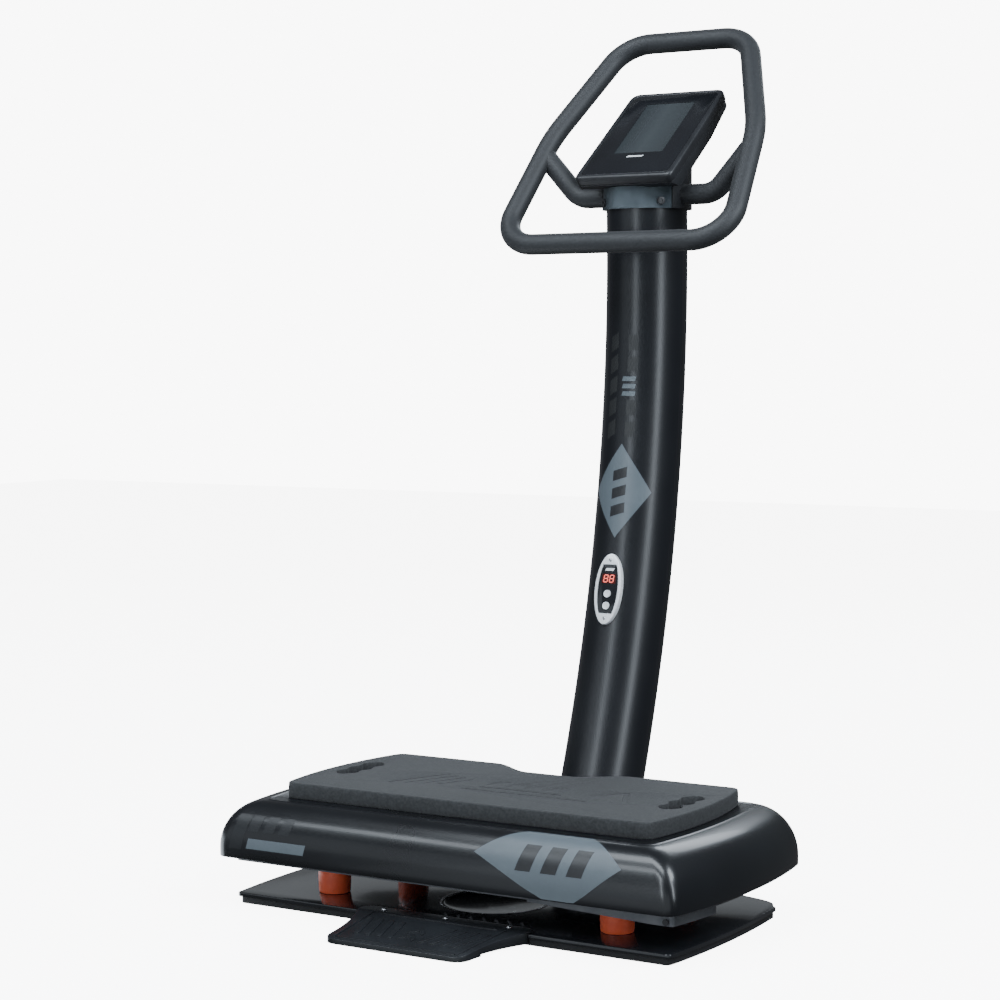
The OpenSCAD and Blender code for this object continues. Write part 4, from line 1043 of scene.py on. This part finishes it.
def build_rear_cover():
    y_mid, depth = (BOX_Y0 + BOX_Y1) / 2, BOX_Y1 - BOX_Y0
    low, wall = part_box("rear_cover")[0].z / MM, 3
    levels = [(0, low), (0, BOX_TOP - 5), (0.4, BOX_TOP - 2.6), (1.5, BOX_TOP - 1.0),
              (3.2, BOX_TOP - 0.2), (5, BOX_TOP)]
    rings = [[(x, y + y_mid, z) for x, y in rounded(2 * (BOX_HW - s), depth - 2 * s, 6)]
             for s, z in levels]
    cover = loft("rear_housing", rings)
    tools = [box("hollow", (-BOX_HW + wall, BOX_Y0 + wall, low - 1),
                 (BOX_HW - wall, BOX_Y1 - wall, BOX_TOP - wall)),
             box("inlet_cut", (-44, BOX_Y1 - 10, 65), (-16, BOX_Y1 + 10, 87)),
             box("switch_cut", (22, BOX_Y1 - 10, 62), (42, BOX_Y1 + 10, 90))]
    for x in range(-50, 31, 20):
        for z in (34, 42):
            tools.append(box("vent", (x, BOX_Y1 - 10, z), (x + 12, BOX_Y1 + 10, z + 3)))
    place(cut(cover, *tools), LOOKS["plastic"], "base", "cover_plastic", "rear_cover", angle=35)


# ---- stage, lights and camera ----

FLOOR_REACH, FLOOR_GLOW, BACKDROP_GLOW, AIR_FILL = 9000, 7.6, 9.0, 0.10


def build_floor():
    """Pale floor, which the camera sees but the pieces don't reflect."""
    corners = [(sx * FLOOR_REACH, sy * FLOOR_REACH, 0)
               for sx, sy in ((-1, -1), (1, -1), (1, 1), (-1, 1))]
    floor = new_object("studio_floor", corners, [(0, 1, 2, 3)])
    paper = surface("studio_paper", ((0.80, 0.80, 0.80), (0.82, 0.82, 0.82)), (0.8, 0.9),
                    400, 3, 0.02)
    shader = paper.node_tree.nodes["Principled BSDF"]
    shader.inputs["Emission Color"].default_value = (1, 1, 1, 1)
    shader.inputs["Emission Strength"].default_value = FLOOR_GLOW
    floor.data.materials.append(paper)
    floor.visible_diffuse = False
    floor.visible_glossy = False


def build_air():
    """Faint fill light, with a white backdrop that only the camera sees."""
    world = bpy.data.worlds.new("studio_air")
    bpy.context.scene.world = world
    world.use_nodes = True
    nodes, links = world.node_tree.nodes, world.node_tree.links
    fill, backdrop = nodes["Background"], nodes.new("ShaderNodeBackground")
    fill.inputs["Color"].default_value = (0.93, 0.96, 1.0, 1)
    fill.inputs["Strength"].default_value = AIR_FILL
    backdrop.inputs["Color"].default_value = (1, 1, 1, 1)
    backdrop.inputs["Strength"].default_value = BACKDROP_GLOW
    ray, choose = nodes.new("ShaderNodeLightPath"), nodes.new("ShaderNodeMixShader")
    links.new(ray.outputs["Is Camera Ray"], choose.inputs[0])
    links.new(fill.outputs[0], choose.inputs[1])
    links.new(backdrop.outputs[0], choose.inputs[2])
    links.new(choose.outputs[0], nodes["World Output"].inputs["Surface"])


def soft_light(name, spot, target, size, power):
    """Cool softbox at spot, turned to target. Places and sizes are in metres."""
    lamp = bpy.data.lights.new(name, "AREA")
    lamp.shape = "RECTANGLE"
    lamp.size, lamp.size_y = size
    lamp.energy = power
    lamp.color = (0.84, 0.92, 1.0)
    light = bpy.data.objects.new(name, lamp)
    light.location = spot
    light.rotation_euler = (Vector(target) - Vector(spot)).to_track_quat("-Z", "Y").to_euler()
    bpy.context.scene.collection.objects.link(light)


def build_lights():
    soft_light("top_front", (-0.3, -1.5, 3.7), (0, -0.1, 0.2), (3.2, 1.2), 130)
    soft_light("front_high", (-1.2, -3.0, 2.9), (0, -0.2, 0.2), (4.0, 0.6), 70)
    soft_light("top_right", (2.7, 0.2, 3.0), (0.2, 0, 0.2), (1.4, 1.6), 110)
    soft_light("front_strip", (-0.25, -3.6, 1.5), (0, 0.4, 0.8), (0.45, 2.6), 34)
    soft_light("right_strip", (3.0, -0.7, 1.5), (0, 0.4, 0.8), (0.6, 2.6), 50)
    soft_light("low_front", (-2.6, -3.4, 0.9), (0, 0, 0.3), (2.2, 1.5), 7)
    soft_light("floor_bounce", (0.3, -2.0, 0.03), (0.1, -0.6, 0.9), (3.4, 1.6), 12)
    soft_light("left_bounce", (-0.98, -0.1, 0.03), (-0.7, 0.1, 1.2), (0.8, 0.8), 9)
    soft_light("rear_wall", (-3.4, 4.2, 0.9), (0, 0, 0.4), (6.0, 1.7), 5)
    soft_light("rear_high", (-0.8, 3.6, 2.6), (0, 0.2, 0.6), (2.6, 1.0), 55)


def build_camera():
    """Camera from its place, its yaw, pitch and roll, and its lens."""
    spot, lens_mm, sensor_mm = (1.975, -3.226, 0.899), 86.33, 36
    yaw, pitch, roll = (math.radians(a) for a in (31.64, 3.73, -0.25))
    back = Vector((math.sin(yaw) * math.cos(pitch), -math.cos(yaw) * math.cos(pitch),
                   math.sin(pitch)))
    right = (-back).cross(Z_AXIS).normalized()
    up = right.cross(-back)
    turned_right = math.cos(roll) * right + math.sin(roll) * up
    turned_up = -math.sin(roll) * right + math.cos(roll) * up
    basis = Matrix((turned_right, turned_up, back)).transposed()
    lens = bpy.data.cameras.new("photo_camera")
    lens.lens = lens_mm
    lens.sensor_width = sensor_mm
    camera = bpy.data.objects.new("photo_camera", lens)
    camera.matrix_world = Matrix.Translation(spot) @ basis.to_4x4()
    bpy.context.scene.collection.objects.link(camera)
    bpy.context.scene.camera = camera


build_camera()
build_floor()
build_air()
build_lights()
dress_cad_nodes()
build_base()
build_dish()
build_foot_pad()
build_dampers()
build_shell()
build_mat()
build_cover_graphics()
build_column()
build_column_graphics()
build_display()
build_handlebar()
build_console()
build_rear_cover()
